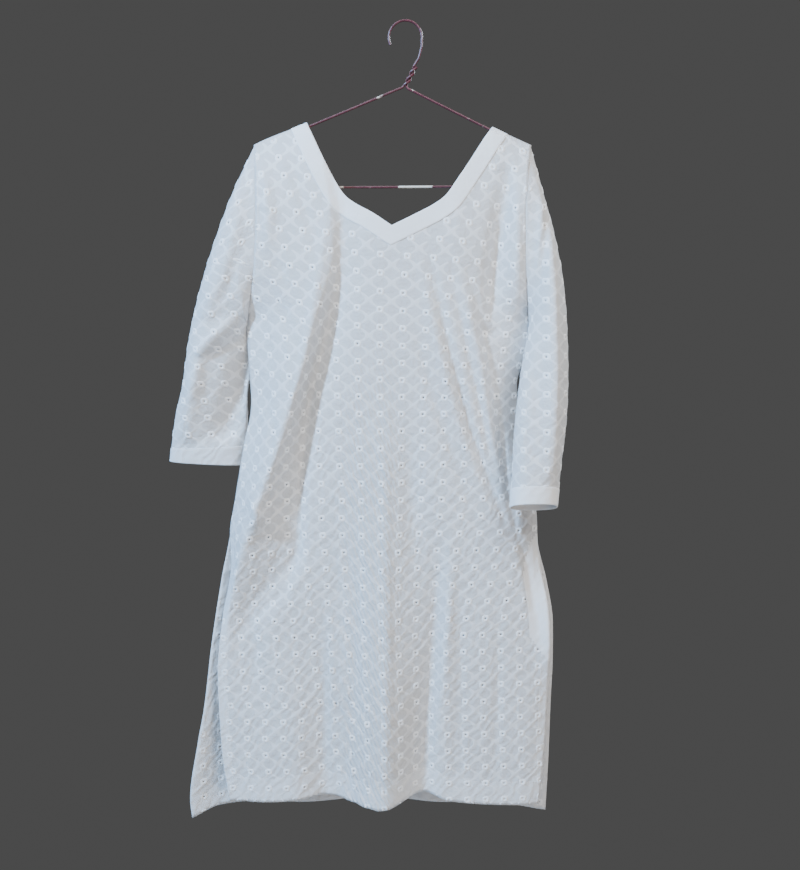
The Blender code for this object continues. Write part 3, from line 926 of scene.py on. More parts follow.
@dataclass
class Panel:
    """The front or the back of the tunic: its outline, its folds and its creases."""

    name: str
    side: Side
    heights: tuple[float, ...]
    folds: tuple[FoldLine, ...]
    fold_columns: int
    left: Table
    right: Table
    edge_depth: Table
    neck: tuple[Table, Table]
    hem: tuple[float, float]
    creases: tuple[Crease, ...]
    hem_rise: Table
    middle: int
    plain_corner: Table = ((-0.695, 0.0), (-1.2, 0.0))
    shoulder_columns: tuple[int, int] = (14, 10)
    neck_columns: int = 42
    rows: int = 230
    hem_rows: int = 7
    ripple_depth: float = 0.6 * MM
    falling_gain: float = 3.2
    hem_step: float = 0.5 * MM
    hem_step_width: float = 1.6 * MM
    hem_rise_follows: tuple[float, float] = (0.6, 0.96)
    row_spread: float = 1.15
    wall: float = 0.6 * MM
    tuck_under_band: float = 4 * MM

    def places(self, height: Array) -> Array:
        """Where the left edge, each fold line and the right edge lie across.

        Args:
            height: Heights to read, in metres.

        Returns:
            The places, one more axis than the heights.
        """
        knots = np.array(self.heights)[::-1]
        rows = [smooth_through(knots, np.array(fold.across)[::-1] * MM, height) for fold in self.folds]
        return np.stack([from_table(self.left, height), *rows, from_table(self.right, height)], axis=-1)

    def depth(self, across: Array, height: Array) -> Array:
        """Distance of the outer face off the middle sheet, before the creases.

        Args:
            across: Places across, in metres.
            height: Their heights, in metres.

        Returns:
            The distances, in metres.
        """
        across, height = np.asarray(across, float), np.asarray(height, float)
        knots = np.array(self.heights)[::-1]
        edge = from_table(self.edge_depth, height)
        folds = [smooth_through(knots, np.array(fold.depth)[::-1] * MM, height) for fold in self.folds]
        depth = smooth_through(self.places(height), np.stack([edge, *folds, edge], axis=-1), across)
        drop = np.maximum(shoulder_height(across) - height, 0)
        return SEAM_HALF + depth * (1 - np.exp(-drop / STAND_OFF_DROP)) ** STAND_OFF_POWER

    def relief(self, across: Array, height: Array) -> Array:
        """The creases and the doubled hem, faded out at the side seams.

        Args:
            across: Places across, in metres.
            height: Their heights, in metres.

        Returns:
            How far the outer face is raised, in metres.
        """
        lift = np.zeros(np.shape(across))
        for crease in self.creases:
            lift = lift + crease.lift(across, height)
        lift = lift + self.ripple_depth * ripples(across, height, self.falling_gain)
        left, right = from_table(self.left, height), from_table(self.right, height)
        inside = np.minimum(across - left, right - across)
        hem = self.hem_height(across, height)
        turned = self.hem_step * ease(0.5 + (hem + HEM_TURN - height) / self.hem_step_width)
        return lift * np.maximum(ease(inside / SEAM_FADE), ease((SLIT_TOP - height) / SLIT_FADE)) + turned

    def hem_height(self, across: Array, height: Array) -> Array:
        """Height of the hem's edge below each place.

        Args:
            across: Places across, in metres.
            height: Their heights, in metres.

        Returns:
            The heights, in metres.
        """
        left, right = from_table(self.left, height), from_table(self.right, height)
        share = np.clip((across - left) / (right - left), 0, 1)
        return self.hem[0] + (self.hem[1] - self.hem[0]) * share + self.hem_lifted(across)

    def hem_lifted(self, across: Array) -> Array:
        """How far the cloth's curl draws the hem up."""
        where, rise = np.array(self.hem_rise).T
        return smooth_through(where, rise, np.clip(across, where[0], where[-1]))

    def surface(self, across: Array, height: Array) -> Array:
        """Points on the outer face.

        Args:
            across: Places across, in metres.
            height: Their heights, in metres.

        Returns:
            The points, by 3.
        """
        across, height = np.asarray(across, float), np.asarray(height, float)
        off = self.depth(across, height) + self.relief(across, height)
        off = np.maximum(off, SEAM_HALF - SLIT_DROP * ease((SLIT_TOP - height) / SLIT_FADE))
        return np.stack([across, middle_sheet(across, height) + self.side.value * off, height], axis=-1)

    def outline(self, inset: float) -> tuple[Array, Array, Array]:
        """The neckline and a line inside it.

        Args:
            inset: How far the inner line lies from the neckline.

        Returns:
            The neckline, the inner line, and the inner line with what is left of both shoulders.
        """
        left, right = (along(np.array(table), self.neck_columns) for table in self.neck)
        neckline = np.concatenate([left, right[1:]])
        forward = np.gradient(neckline, axis=0)
        forward /= np.linalg.norm(forward, axis=1)[:, None]
        inward = np.stack([forward[:, 1], -forward[:, 0]], axis=-1)
        middle = self.neck_columns
        if self.side is Side.FRONT:
            inward[middle] = inward[middle - 1] + inward[middle + 1]
            inward[middle] /= np.dot(inward[middle], inward[middle - 1])
        inner = neckline + inset * inward
        for end, shoulder in ((0, LEFT_SHOULDER[::-1]), (-1, RIGHT_SHOULDER)):
            seam = np.array(shoulder[1]) - shoulder[0]
            inner[end] = neckline[end] + inset * seam / np.linalg.norm(seam)
        inner[:, 1] = np.minimum(inner[:, 1], shoulder_height(inner[:, 0]))
        left_seam = along(np.array((LEFT_SHOULDER[0], LEFT_SHOULDER[1], inner[0])), self.shoulder_columns[0])
        right_seam = along(np.array((inner[-1], RIGHT_SHOULDER[2])), self.shoulder_columns[1])
        return neckline, inner, np.concatenate([left_seam[:-1], inner, right_seam[1:]])

    def grid(self) -> Array:
        """(across, height) of the cloth from under the neck band to the hem, its columns along the folds.

        Returns:
            Rows by columns by 2, from the top down and from left to right.
        """
        top = self.outline(NECK_BAND - self.tuck_under_band)[2]
        steps = np.linspace(0, 1, self.rows + 1) ** self.row_spread
        steps = np.concatenate([steps, np.linspace(1, 2, self.hem_rows + 1)[1:]])
        sides = []
        for end, table in ((0, self.left), (-1, self.right)):
            height = np.interp(steps, [0, 1, 2], [top[end, 1], self.hem[end] + HEM_TURN, self.hem[end]])
            sides.append(np.stack([from_table(table, height), height], axis=-1))
        share = np.linspace(0, 1, len(top))[:, None]
        bottom = sides[0][-1] * (1 - share) + sides[1][-1] * share
        down = ((sides[0][:, 1] - sides[0][0, 1]) / (sides[0][-1, 1] - sides[0][0, 1]))[:, None, None]
        left, right = sides[0][:, None], sides[1][:, None]
        straight = (1 - down) * ((1 - share) * top[0] + share * top[-1])
        straight = straight + down * ((1 - share) * bottom[0] + share * bottom[-1])
        body = (1 - down) * top + down * bottom + (1 - share) * left + share * right - straight
        begin, end = COLUMNS_FOLLOW
        follow = ease((body[..., 1] - begin) / (end - begin))
        last = len(top) - 1
        columns = np.array((0, *(fold.column * last / self.fold_columns for fold in self.folds), last), float)
        number = np.broadcast_to(np.arange(len(top)), body.shape[:2]).astype(float)
        knots = np.broadcast_to(columns, (*number.shape, len(columns)))
        on_folds = smooth_through(knots, self.places(body[..., 1]), number)
        body[..., 0] += follow * (on_folds - body[..., 0])
        first, last_down = self.hem_rise_follows
        body[..., 1] += self.hem_lifted(body[..., 0]) * ease((down[..., 0] - first) / (last_down - first))
        return body


@dataclass
class PanelChart:
    """Cloth coordinates on a panel: p across from the middle fold, along the cloth, and q as the height."""

    panel: Panel
    spacing: float = 4 * MM
    reach: float = 0.44
    span: tuple[float, float] = (-0.34, 0.24)
    span_steps: int = 580
    top: float = -0.128
    below_hem: float = 4 * MM
    turn_in: float = 0.03
    probe: float = 0.5 * MM
    edge_gap: float = 0.6 * MM
    seam_gap: float = 2 * MM

    def __post_init__(self) -> None:
        """Measures the cloth across at every height."""
        panel = self.panel
        self.levels = np.arange(min(panel.hem) - self.below_hem, self.top, self.spacing)
        self.p_steps = np.arange(-self.reach, self.reach, self.spacing)
        self.x_steps = np.linspace(*self.span, self.span_steps + 1)
        x, z = np.meshgrid(self.x_steps, self.levels)
        step = np.hypot(np.diff(x, axis=1), np.diff(panel.depth(x, z) + panel.relief(x, z), axis=1))
        length = np.concatenate([np.zeros((len(z), 1)), np.cumsum(step, axis=1)], axis=1)
        middle = np.array(panel.folds[panel.middle].across)[::-1] * MM
        centre = smooth_through(np.array(panel.heights)[::-1], middle, self.levels)
        start = np.array([np.interp(place, self.x_steps, row) for place, row in zip(centre, length)])
        self.lengths = length - start[:, None]
        self.table = np.array([np.interp(self.p_steps, row, self.x_steps) for row in self.lengths])
        ends = from_table(panel.left, self.levels), from_table(panel.right, self.levels)
        self.edges = np.array([np.interp(pair, self.x_steps, row) for *pair, row in zip(*ends, self.lengths)])

    def row(self, q: Array) -> Array:
        """The table row of a height."""
        return (q - self.levels[0]) / self.spacing

    def across(self, p: Array, q: Array) -> Array:
        """Where cloth coordinates lie across."""
        return between(self.table, self.row(q), (p - self.p_steps[0]) / self.spacing)

    def inside(self, p: Array, q: Array) -> Array:
        """How far each place lies inside the nearer side edge, along the cloth.

        Args:
            p: Cloth coordinates across.
            q: Cloth coordinates up.

        Returns:
            The distances, below 0 outside the panel.
        """
        left = np.interp(q, self.levels, self.edges[:, 0])
        right = np.interp(q, self.levels, self.edges[:, 1])
        return np.minimum(p - left, right - p)

    def turned(self, p: Array, q: Array) -> Array:
        """Whether each place lies on the turned edge of a slit."""
        return (self.inside(p, q) < SLIT_TURN * ease((SLIT_TOP - q) / self.turn_in)) | self.plain(p, q)

    def plain(self, p: Array, q: Array) -> Array:
        """Whether each place lies on the plain corner of the right slit."""
        return (p > 0) & (self.inside(p, q) < from_table(self.panel.plain_corner, q))

    def carries(self, p: Array, q: Array, margin: float) -> Array:
        """Whether each place lies on the embroidered cloth that shows, with a margin inside its edges.

        Args:
            p: Cloth coordinates across.
            q: Cloth coordinates up.
            margin: How far inside the edges they must lie.

        Returns:
            True where it does.
        """
        panel = self.panel
        x = self.across(p, q)
        hem = panel.hem_height(x, q)
        inner = panel.outline(NECK_BAND - panel.tuck_under_band)[1]
        under_neck = np.interp(x, inner[:, 0], inner[:, 1], left=1, right=1)
        top = np.minimum(shoulder_height(x) - self.seam_gap, under_neck)
        return (self.inside(p, q) > margin) & (q < top - margin) & (q > hem + margin) & ~self.plain(p, q)

    def coordinates(self, x: Array, z: Array) -> Array:
        """Cloth coordinates of places on the panel."""
        column = (x - self.x_steps[0]) / (self.x_steps[1] - self.x_steps[0])
        return np.stack([between(self.lengths, self.row(z), column), z], axis=-1)

    def drape(self, p: Array, q: Array, lift: Array) -> Array:
        """Lays flat places on the cloth, each lifted off it.

        Args:
            p: Cloth coordinates across.
            q: Cloth coordinates up.
            lift: How far each lies off the outer face.

        Returns:
            The points, by 3.
        """
        x = self.across(p, q)
        left, right = from_table(self.panel.left, q), from_table(self.panel.right, q)
        x = np.clip(x, left + self.edge_gap, right - self.edge_gap)
        here = self.panel.surface(x, q)
        aside = self.panel.surface(x + self.probe, q) - here
        above = self.panel.surface(x, q + self.probe) - here
        normal = np.cross(aside, above)
        normal *= np.sign(normal[..., 1] * self.panel.side.value)[..., None]
        normal /= np.linalg.norm(normal, axis=-1)[..., None]
        return here + normal * lift[..., None]


# ---- sleeves ----

SLEEVE_COLUMNS = ("outer_x", "outer_z", "inner_x", "inner_z", "middle_y", "front", "back")


@dataclass
class Sleeve:
    """A sleeve: its rings from the armhole to the cuff, its creases and its grain line.

    The grain line passes the mark, (across, height), and leans across by the grain for each metre down.
    """

    name: str
    hand: Hand
    rings: Table
    front: Panel
    back: Panel
    creases: tuple[Crease, ...]
    mark: tuple[float, float]
    grain: float
    row_slope: float
    cuff_slope: float = 0.0
    roundness: float = 2.4
    head_tuck: float = 1.2 * MM
    seam_rows: int = 6
    seam_strip: float = 4 * MM
    fade_at_ends: tuple[float, float] = (0.03, 0.02)
    fade_at_folds: float = 1.6
    sides: int = 84
    rows: int = 104
    wall: float = 0.6 * MM

    def __post_init__(self) -> None:
        """Works out the rings once, finely round."""
        self.turns = np.linspace(0, 2 * math.pi, 241)
        rings = self.ring_points(self.turns)
        mean = rings[:, :-1].mean(axis=1)
        self.length = np.concatenate([[0], np.cumsum(np.linalg.norm(np.diff(mean, axis=0), axis=1))])
        self.total = float(self.length[-1])

    def ring_points(self, angle: Array) -> Array:
        """Points of every ring at the given angles, 0 at the outer edge and a quarter turn at the front.

        Args:
            angle: Turns round the sleeve, in radians.

        Returns:
            Rings by angles by 3.
        """
        power = 2 / self.roundness
        lengthwise = np.sign(np.cos(angle)) * np.abs(np.cos(angle)) ** power
        sideways = np.sign(np.sin(angle)) * np.abs(np.sin(angle)) ** power
        armhole = np.array(self.front.left if self.hand is Hand.LEFT else self.front.right)[: self.seam_rows]
        height = armhole[0, 0] + (armhole[-1, 0] - armhole[0, 0]) * (1 - lengthwise) / 2
        across = from_table(armhole, height)
        edge = np.where(sideways > 0, -self.front.depth(across, height), self.back.depth(across, height))
        edge = edge * (np.abs(sideways) > 1e-9)
        start = [across - self.hand.value * self.head_tuck, middle_sheet(across, height) + edge, height]
        rings = [np.stack(start, axis=-1)]
        out, into = (1 + lengthwise) / 2, (1 - lengthwise) / 2
        for values in self.rings:
            row = dict(zip(SLEEVE_COLUMNS, values))
            stand = np.where(sideways > 0, -row["front"], row["back"]) * np.abs(sideways)
            x = row["outer_x"] * out + row["inner_x"] * into
            sloped = self.cuff_slope * stand * len(rings) / len(self.rings)
            z = row["outer_z"] * out + row["inner_z"] * into - sloped
            rings.append(np.stack([x, row["middle_y"] + stand, z], axis=-1))
        return np.array(rings)

    def base(self, angle: Array, distance: Array) -> Array:
        """Points of the plain sleeve at any angle and distance from its head.

        Args:
            angle: Turns round the sleeve, in radians.
            distance: Distances from its head, in metres.

        Returns:
            The points, by 3.
        """
        shape = np.shape(angle)
        rings = self.ring_points(np.ravel(angle))
        knots = np.broadcast_to(self.length, (*rings.shape[1:], len(self.length)))
        where = np.broadcast_to(np.ravel(distance)[:, None], rings.shape[1:])
        return smooth_through(knots, np.moveaxis(rings, 0, -1), where).reshape(*shape, 3)

    def surface(self, angle: Array, distance: Array) -> Array:
        """Points on the outer face, with the creases that are placed as seen from the front.

        Args:
            angle: Turns round the sleeve, in radians.
            distance: Distances from its head, in metres.

        Returns:
            The points, by 3.
        """
        points = self.base(angle, distance)
        facing = np.sin(angle)
        lift = np.zeros(np.shape(angle))
        for crease in self.creases:
            lift = lift + crease.lift(points[..., 0], points[..., 2])
        head, cuff = self.fade_at_ends
        past_seam = ease((np.asarray(distance) - self.seam_strip) / head)
        ends = past_seam * ease((self.total - CUFF_BAND - distance) / cuff)
        points[..., 1] -= lift * np.sign(facing) * ease(np.abs(facing) * self.fade_at_folds) * ends
        return points


@dataclass
class SleeveChart:
    """Cloth coordinates on a sleeve: p round it from its grain line, and q up along the grain."""

    sleeve: Sleeve
    spacing: float = 4 * MM
    half_turn: int = 120
    seen: tuple[int, int] = (124, 237)
    reach: float = 0.30
    end_gap: float = 2 * MM
    fold_gap: float = 0.02
    rim_gap: float = 0.6 * MM
    probe_turn: float = 0.01
    probe: float = 0.8 * MM

    def __post_init__(self) -> None:
        """Measures the cloth round at every level along the grain, level 0 at the grain line's mark."""
        sleeve = self.sleeve
        self.turns = np.linspace(-math.pi, math.pi, 2 * self.half_turn + 1)
        self.steps = np.linspace(0, sleeve.total, 200)
        points = sleeve.base(*np.meshgrid(self.turns, self.steps))
        lean = sleeve.grain
        mark = np.array((sleeve.mark[0], 0, sleeve.mark[1]))
        way = np.array((-lean, 0, 1)) / math.hypot(lean, 1)
        self.heights = np.minimum.accumulate((points - mark) @ way, axis=0)
        self.levels = np.arange(self.heights.min(), self.heights.max(), self.spacing)
        columns = [np.interp(-self.levels, -height, self.steps) for height in self.heights.T]
        self.distances = np.stack(columns, axis=-1)
        rings = sleeve.base(np.broadcast_to(self.turns, self.distances.shape), self.distances)
        step = np.linalg.norm(np.diff(rings, axis=1), axis=-1)
        self.round = np.concatenate([np.zeros((len(rings), 1)), np.cumsum(step, axis=1)], axis=1)
        grain_x = sleeve.mark[0] - lean * self.levels
        front = slice(*self.seen)
        hand = -sleeve.hand.value
        for row, ring, x in zip(self.round, rings, grain_x):
            row -= np.interp(hand * x, hand * ring[front, 0], row[front])
        self.round *= hand
        self.p_steps = np.arange(-self.reach, self.reach, self.spacing)
        turns = self.turns[::hand]
        self.table = np.array([np.interp(self.p_steps, row[::hand], turns) for row in self.round])

    def row(self, q: Array) -> Array:
        """The table row of a level."""
        return (q - self.levels[0]) / self.spacing

    def column(self, turn: Array) -> Array:
        """The table column of a turn."""
        return (turn + math.pi) / (self.turns[1] - self.turns[0])

    def place(self, p: Array, q: Array) -> tuple[Array, Array]:
        """The turn and the distance down the sleeve of cloth coordinates."""
        turn = between(self.table, self.row(q), (p - self.p_steps[0]) / self.spacing)
        return turn, between(self.distances, self.row(q), self.column(turn))

    def carries(self, p: Array, q: Array, margin: float) -> Array:
        """Whether each place lies on the embroidered cloth that shows, with a margin inside its edges.

        Args:
            p: Cloth coordinates across.
            q: Cloth coordinates up.
            margin: How far inside the edges they must lie.

        Returns:
            True where it does.
        """
        turn, distance = self.place(p, q)
        ends = np.interp(q, self.levels, self.round[:, 0]), np.interp(q, self.levels, self.round[:, -1])
        inside = np.minimum(np.abs(p - ends[0]), np.abs(ends[1] - p))
        end = self.sleeve.total - CUFF_BAND + self.end_gap
        shows = (np.abs(turn) < math.pi - self.fold_gap) & (inside > margin)
        return shows & (distance > margin + self.end_gap) & (distance < end - margin)

    def coordinates(self, angle: Array, distance: Array) -> Array:
        """Cloth coordinates of places on the sleeve."""
        q = between(self.heights, distance / self.steps[1], self.column(angle))
        return np.stack([between(self.round, self.row(q), self.column(angle)), q], axis=-1)

    def drape(self, p: Array, q: Array, lift: Array) -> Array:
        """Lays flat places on the cloth, each lifted off it.

        Args:
            p: Cloth coordinates across.
            q: Cloth coordinates up.
            lift: How far each lies off the outer face.

        Returns:
            The points, by 3.
        """
        turn, distance = self.place(p, q)
        distance = np.clip(distance, self.rim_gap, self.sleeve.total - self.rim_gap)
        here = self.sleeve.surface(turn, distance)
        aside = self.sleeve.surface(turn + self.probe_turn, distance) - here
        below = self.sleeve.surface(turn, distance + self.probe) - here
        normal = np.cross(aside, below) * -self.sleeve.hand.value
        across = self.sleeve.base(turn + math.pi, distance)
        facing = np.sum(normal * (here - across), axis=-1)
        normal *= np.sign(facing)[..., None]
        normal /= np.linalg.norm(normal, axis=-1)[..., None] + 1e-12
        return here + normal * lift[..., None]


# ---- embroidery ----

Chart = PanelChart | SleeveChart
Part = bmesh.types.BMVert | bmesh.types.BMEdge | bmesh.types.BMFace
PROBE = 0.5 * MM
SUNK = -0.04 * MM
NEAR_ENOUGH = 6 * MM
WIDE_ENOUGH = 2.6
FIRST_INSET = 0.2 * MM
HOLE_RIM = 0.06
STITCH_MARGIN = 0.6 * MM
UNDER_LIFT = 0.6


def place_of(part: Part) -> tuple[float, ...]:
    """The middle of a point, an edge or a face."""
    verts = [part] if isinstance(part, bmesh.types.BMVert) else list(part.verts)
    return tuple(sum((vert.co for vert in verts), Vector()) / len(verts))


def sort_by_place(bm: bmesh.types.BMesh) -> None:
    """Puts points, edges and faces in order of place, as an extrusion makes them in another order each run.

    Args:
        bm: The bmesh that they belong to.
    """
    for parts in (bm.verts, bm.edges, bm.faces):
        for index, part in enumerate(sorted(parts, key=place_of)):
            part.index = index
        parts.sort()


@dataclass(frozen=True)
class EyeletRepeat:
    """One repeat of the embroidery: a satin-stitched eyelet, and a knot with four stems beside it."""

    pitch: tuple[float, float] = (31 * MM, 24.5 * MM)
    hole: float = 1.2 * MM
    eyelet: float = 5.4 * MM
    squareness: float = 0.11
    raised: float = 0.7 * MM
    lip: float = 0.3 * MM
    lip_share: float = 0.92
    sectors: int = 12
    stem_width: float = 5.2 * MM
    stem_bow: float = 0.5 * MM
    stem_raised: float = 0.45 * MM
    stem_start: float = 0.10
    stem_length: float = 0.62
    stem_taper: float = 0.5
    knot: tuple[float, float] = (7.4 * MM, 4.4 * MM)
    knot_pinch: float = 0.26
    knot_raised: float = 0.8

    def ring_steps(self) -> tuple[tuple[float, float], ...]:
        """The satin ring's profile outwards: its radius, and its height as a share of the ring's."""
        return ((self.hole * 1.3, 0.8), (self.eyelet * 0.78, 0.95), (self.eyelet, -0.07))

    def eyelet_ring(self, bm: bmesh.types.BMesh) -> None:
        """Adds the ring of satin stitch, a rounded square with its hole.

        Args:
            bm: The bmesh that it is added to.
        """
        made = bmesh.ops.create_circle(bm, segments=self.sectors, radius=self.hole * self.lip_share)
        ring = made["verts"]
        edges = list(dict.fromkeys(edge for vert in ring for edge in vert.link_edges))
        for vert in ring:
            vert.co.z = -self.lip
        for radius, height in self.ring_steps():
            grown = bmesh.ops.extrude_edge_only(bm, edges=edges)["geom"]
            edges = [item for item in grown if isinstance(item, bmesh.types.BMEdge)]
            square = self.squareness * (radius - self.hole) / (self.eyelet - self.hole)
            for vert in [item for item in grown if isinstance(item, bmesh.types.BMVert)]:
                angle = math.atan2(vert.co.y, vert.co.x)
                reach = radius * (1 - square * math.cos(4 * angle))
                vert.co = (reach * math.cos(angle), reach * math.sin(angle), height * self.raised)
        sort_by_place(bm)

    def stem(self, bm: bmesh.types.BMesh, way: tuple[int, int]) -> None:
        """Adds a stitched stem from the knot towards a neighbouring eyelet.

        Args:
            bm: The bmesh that it is added to.
            way: Which neighbour it points to, as signs along X and Y.
        """
        start = Vector((self.pitch[0] / 2, self.pitch[1] / 2, 0))
        leave = Vector((way[0] * self.pitch[0] / 2, way[1] * self.pitch[1] / 2, 0))
        aside = Vector((-leave.y, leave.x, 0)).normalized()
        made = bmesh.ops.create_grid(bm, x_segments=3, y_segments=2, size=1)["verts"]
        for vert in made:
            run, off = (vert.co.x + 1) / 2, vert.co.y
            bow = self.stem_bow * math.sin(math.pi * run) * way[0] * way[1]
            width = self.stem_width / 2 * (1 - self.stem_taper * run)
            point = start + leave * (self.stem_start + self.stem_length * run) + aside * (off * width + bow)
            vert.co = (point.x, point.y, self.stem_raised * (1 - abs(off)) + SUNK)

    def knot_patch(self, bm: bmesh.types.BMesh) -> None:
        """Adds the knot where the stems meet, wider than it is tall.

        Args:
            bm: The bmesh that it is added to.
        """
        made = bmesh.ops.create_circle(bm, segments=8, radius=1, cap_ends=True, cap_tris=True)["verts"]
        for vert in made:
            reach = vert.co.length
            angle = math.atan2(vert.co.y, vert.co.x)
            pinch = 1 - self.knot_pinch * math.cos(4 * angle) if reach > 0.5 else 1
            x = self.pitch[0] / 2 + vert.co.x * self.knot[0] * pinch
            y = self.pitch[1] / 2 + vert.co.y * self.knot[1] * pinch
            vert.co = (x, y, self.raised * self.knot_raised if reach < 0.5 else SUNK)

    def shape(self) -> tuple[bpy.types.Mesh, Array]:
        """Makes the flat repeat, all its faces up, its open stitches with the second finish.

        Returns:
            The repeat, and its points.
        """
        bm = bmesh.new()
        self.eyelet_ring(bm)
        ring_faces = len(bm.faces)
        self.knot_patch(bm)
        for way in ((1, 1), (1, -1), (-1, 1), (-1, -1)):
            self.stem(bm, way)
        bm.normal_update()
        bmesh.ops.reverse_faces(bm, faces=[face for face in bm.faces if face.normal.z < 0])
        for index, face in enumerate(bm.faces):
            face.material_index = int(index >= ring_faces)
        return shape_mesh("eyelet_repeat", bm)


REPEAT = EyeletRepeat()


def embroidered(chart: Chart, centres: Array, under: float, mirror: bool) -> bmesh.types.BMesh:
    """Lays one copy of the repeat on the cloth at every centre, and leaves out what falls off its edges.

    Args:
        chart: The cloth that it is stitched on.
        centres: Cloth coordinates of the eyelets, and how far the row falls there for each metre across.
        under: The cloth's thickness, where the stitches show on its inside, or else 0.
        mirror: Whether the copies' faces turn over, as the coordinates run the other way there.

    Returns:
        All the stitches.
    """
    shape, flat = REPEAT.shape()
    p = centres[:, 0, None] + flat[None, :, 0]
    q = centres[:, 1, None] + flat[None, :, 1] - centres[:, 2, None] * flat[None, :, 0]
    raised = flat[None, :, 2] if under == 0 else -under - flat[None, :, 2] * UNDER_LIFT
    lift = np.broadcast_to(raised, p.shape)
    keep = chart.carries(p, q, STITCH_MARGIN)
    return joined_copies(shape, chart.drape(p, q, lift), keep, mirror)


def open_eyelets(bm: bmesh.types.BMesh, centres: Array, half: float) -> int:
    """Cuts each eyelet's hole in the face nearest its centre, without stirring the faces round it.

    Args:
        bm: The sheet of cloth.
        centres: Middle of each hole.
        half: Half of a hole's width.

    Returns:
        How many holes were cut.
    """
    bm.faces.ensure_lookup_table()
    middles = np.array([face.calc_center_median() for face in bm.faces])
    aims = {}
    for centre in centres:
        gap = np.sum((middles - centre) ** 2, axis=1)
        nearest = bm.faces[int(gap.argmin())]
        wide = min(edge.calc_length() for edge in nearest.edges) > WIDE_ENOUGH * half
        if gap.min() < NEAR_ENOUGH**2 and len(nearest.verts) == 4 and wide:
            aims[nearest] = Vector(centre)
    before = {face: [vert.co.copy() for vert in face.verts] for face in aims}
    bmesh.ops.inset_individual(bm, faces=list(aims), thickness=FIRST_INSET, use_even_offset=True)
    for face, aim in aims.items():
        first, second, _, last = before[face]
        along_side, up_side = second - first, last - first
        both = along_side @ up_side
        square = np.array(((along_side @ along_side, both), (both, up_side @ up_side)))
        run, rise = np.linalg.solve(square, ((aim - first) @ along_side, (aim - first) @ up_side))
        spans = half / along_side.length, half / up_side.length
        low, high = HOLE_RIM, 1 - HOLE_RIM
        middle = [min(max(value, span + low), high - span) for value, span in zip((run, rise), spans)]
        for vert, (right, up) in zip(face.verts, ((-1, -1), (1, -1), (1, 1), (-1, 1))):
            u, v = middle[0] + right * spans[0], middle[1] + up * spans[1]
            bottom = before[face][0].lerp(before[face][1], u)
            vert.co = bottom.lerp(before[face][3].lerp(before[face][2], u), v)
    bmesh.ops.delete(bm, geom=list(aims), context="FACES_ONLY")
    return len(aims)


@dataclass
class StitchRow:
    """Short sewn stitches along lines on the cloth, their crown and how far they sink given in radii."""

    length: float = 2.6 * MM
    gap: float = 0.9 * MM
    radius: float = 0.28 * MM
    crown: float = 0.8
    sunk: float = 0.3
    end_width: float = 0.4
    places: list[Array] = field(default_factory=list)

    def __post_init__(self) -> None:
        """Makes one stitch: along it from 0 to 1, across it and up from it in radii."""
        bm = bmesh.new()
        bmesh.ops.create_grid(bm, x_segments=3, y_segments=3, size=1)
        for vert in bm.verts:
            run, off = (vert.co.x + 1) / 2, vert.co.y
            full = 0.1 < run < 0.9
            up = self.crown if full and abs(off) < 0.5 else -self.sunk
            vert.co = (run, off * (1 if full else self.end_width), up)
        self.stitch, self.points = shape_mesh("stitch", bm)

    def sew(self, line: Array, normals: Array) -> None:
        """Adds a row along points on the cloth's outer face, given its way out at each.

        Args:
            line: Points along the row, by 3.
            normals: The way out at each.
        """
        reach = np.concatenate([[0], np.cumsum(np.linalg.norm(np.diff(line, axis=0), axis=1))])
        starts = np.arange(0, reach[-1] - self.length, self.length + self.gap)
        where = starts[:, None] + self.points[None, :, 0] * self.length
        ahead = np.gradient(line, reach, axis=0)

        def read(values: Array) -> Array:
            """Reads values along the row at every point of every stitch."""
            return np.stack([np.interp(where, reach, values[:, axis]) for axis in range(3)], axis=-1)

        aside = np.cross(read(normals), read(ahead))
        aside /= np.linalg.norm(aside, axis=-1)[..., None]
        sideways, upwards = self.points[:, 1, None], self.points[:, 2, None]
        self.places.append(read(line) + self.radius * (sideways * aside + upwards * read(normals)))

    def piece(self, name: str, finish: bpy.types.Material) -> bpy.types.Object:
        """Joins all the rows as one piece.

        Args:
            name: Name of the new piece.
            finish: The thread.

        Returns:
            The piece.
        """
        places = np.concatenate(self.places)
        bm = joined_copies(self.stitch, places, np.ones(places.shape[:2], bool))
        bm.normal_update()
        LOG.info("%s: %d stitches", name, len(places))
        return finished_object(name, bm, finish)


# ---- assembly ----


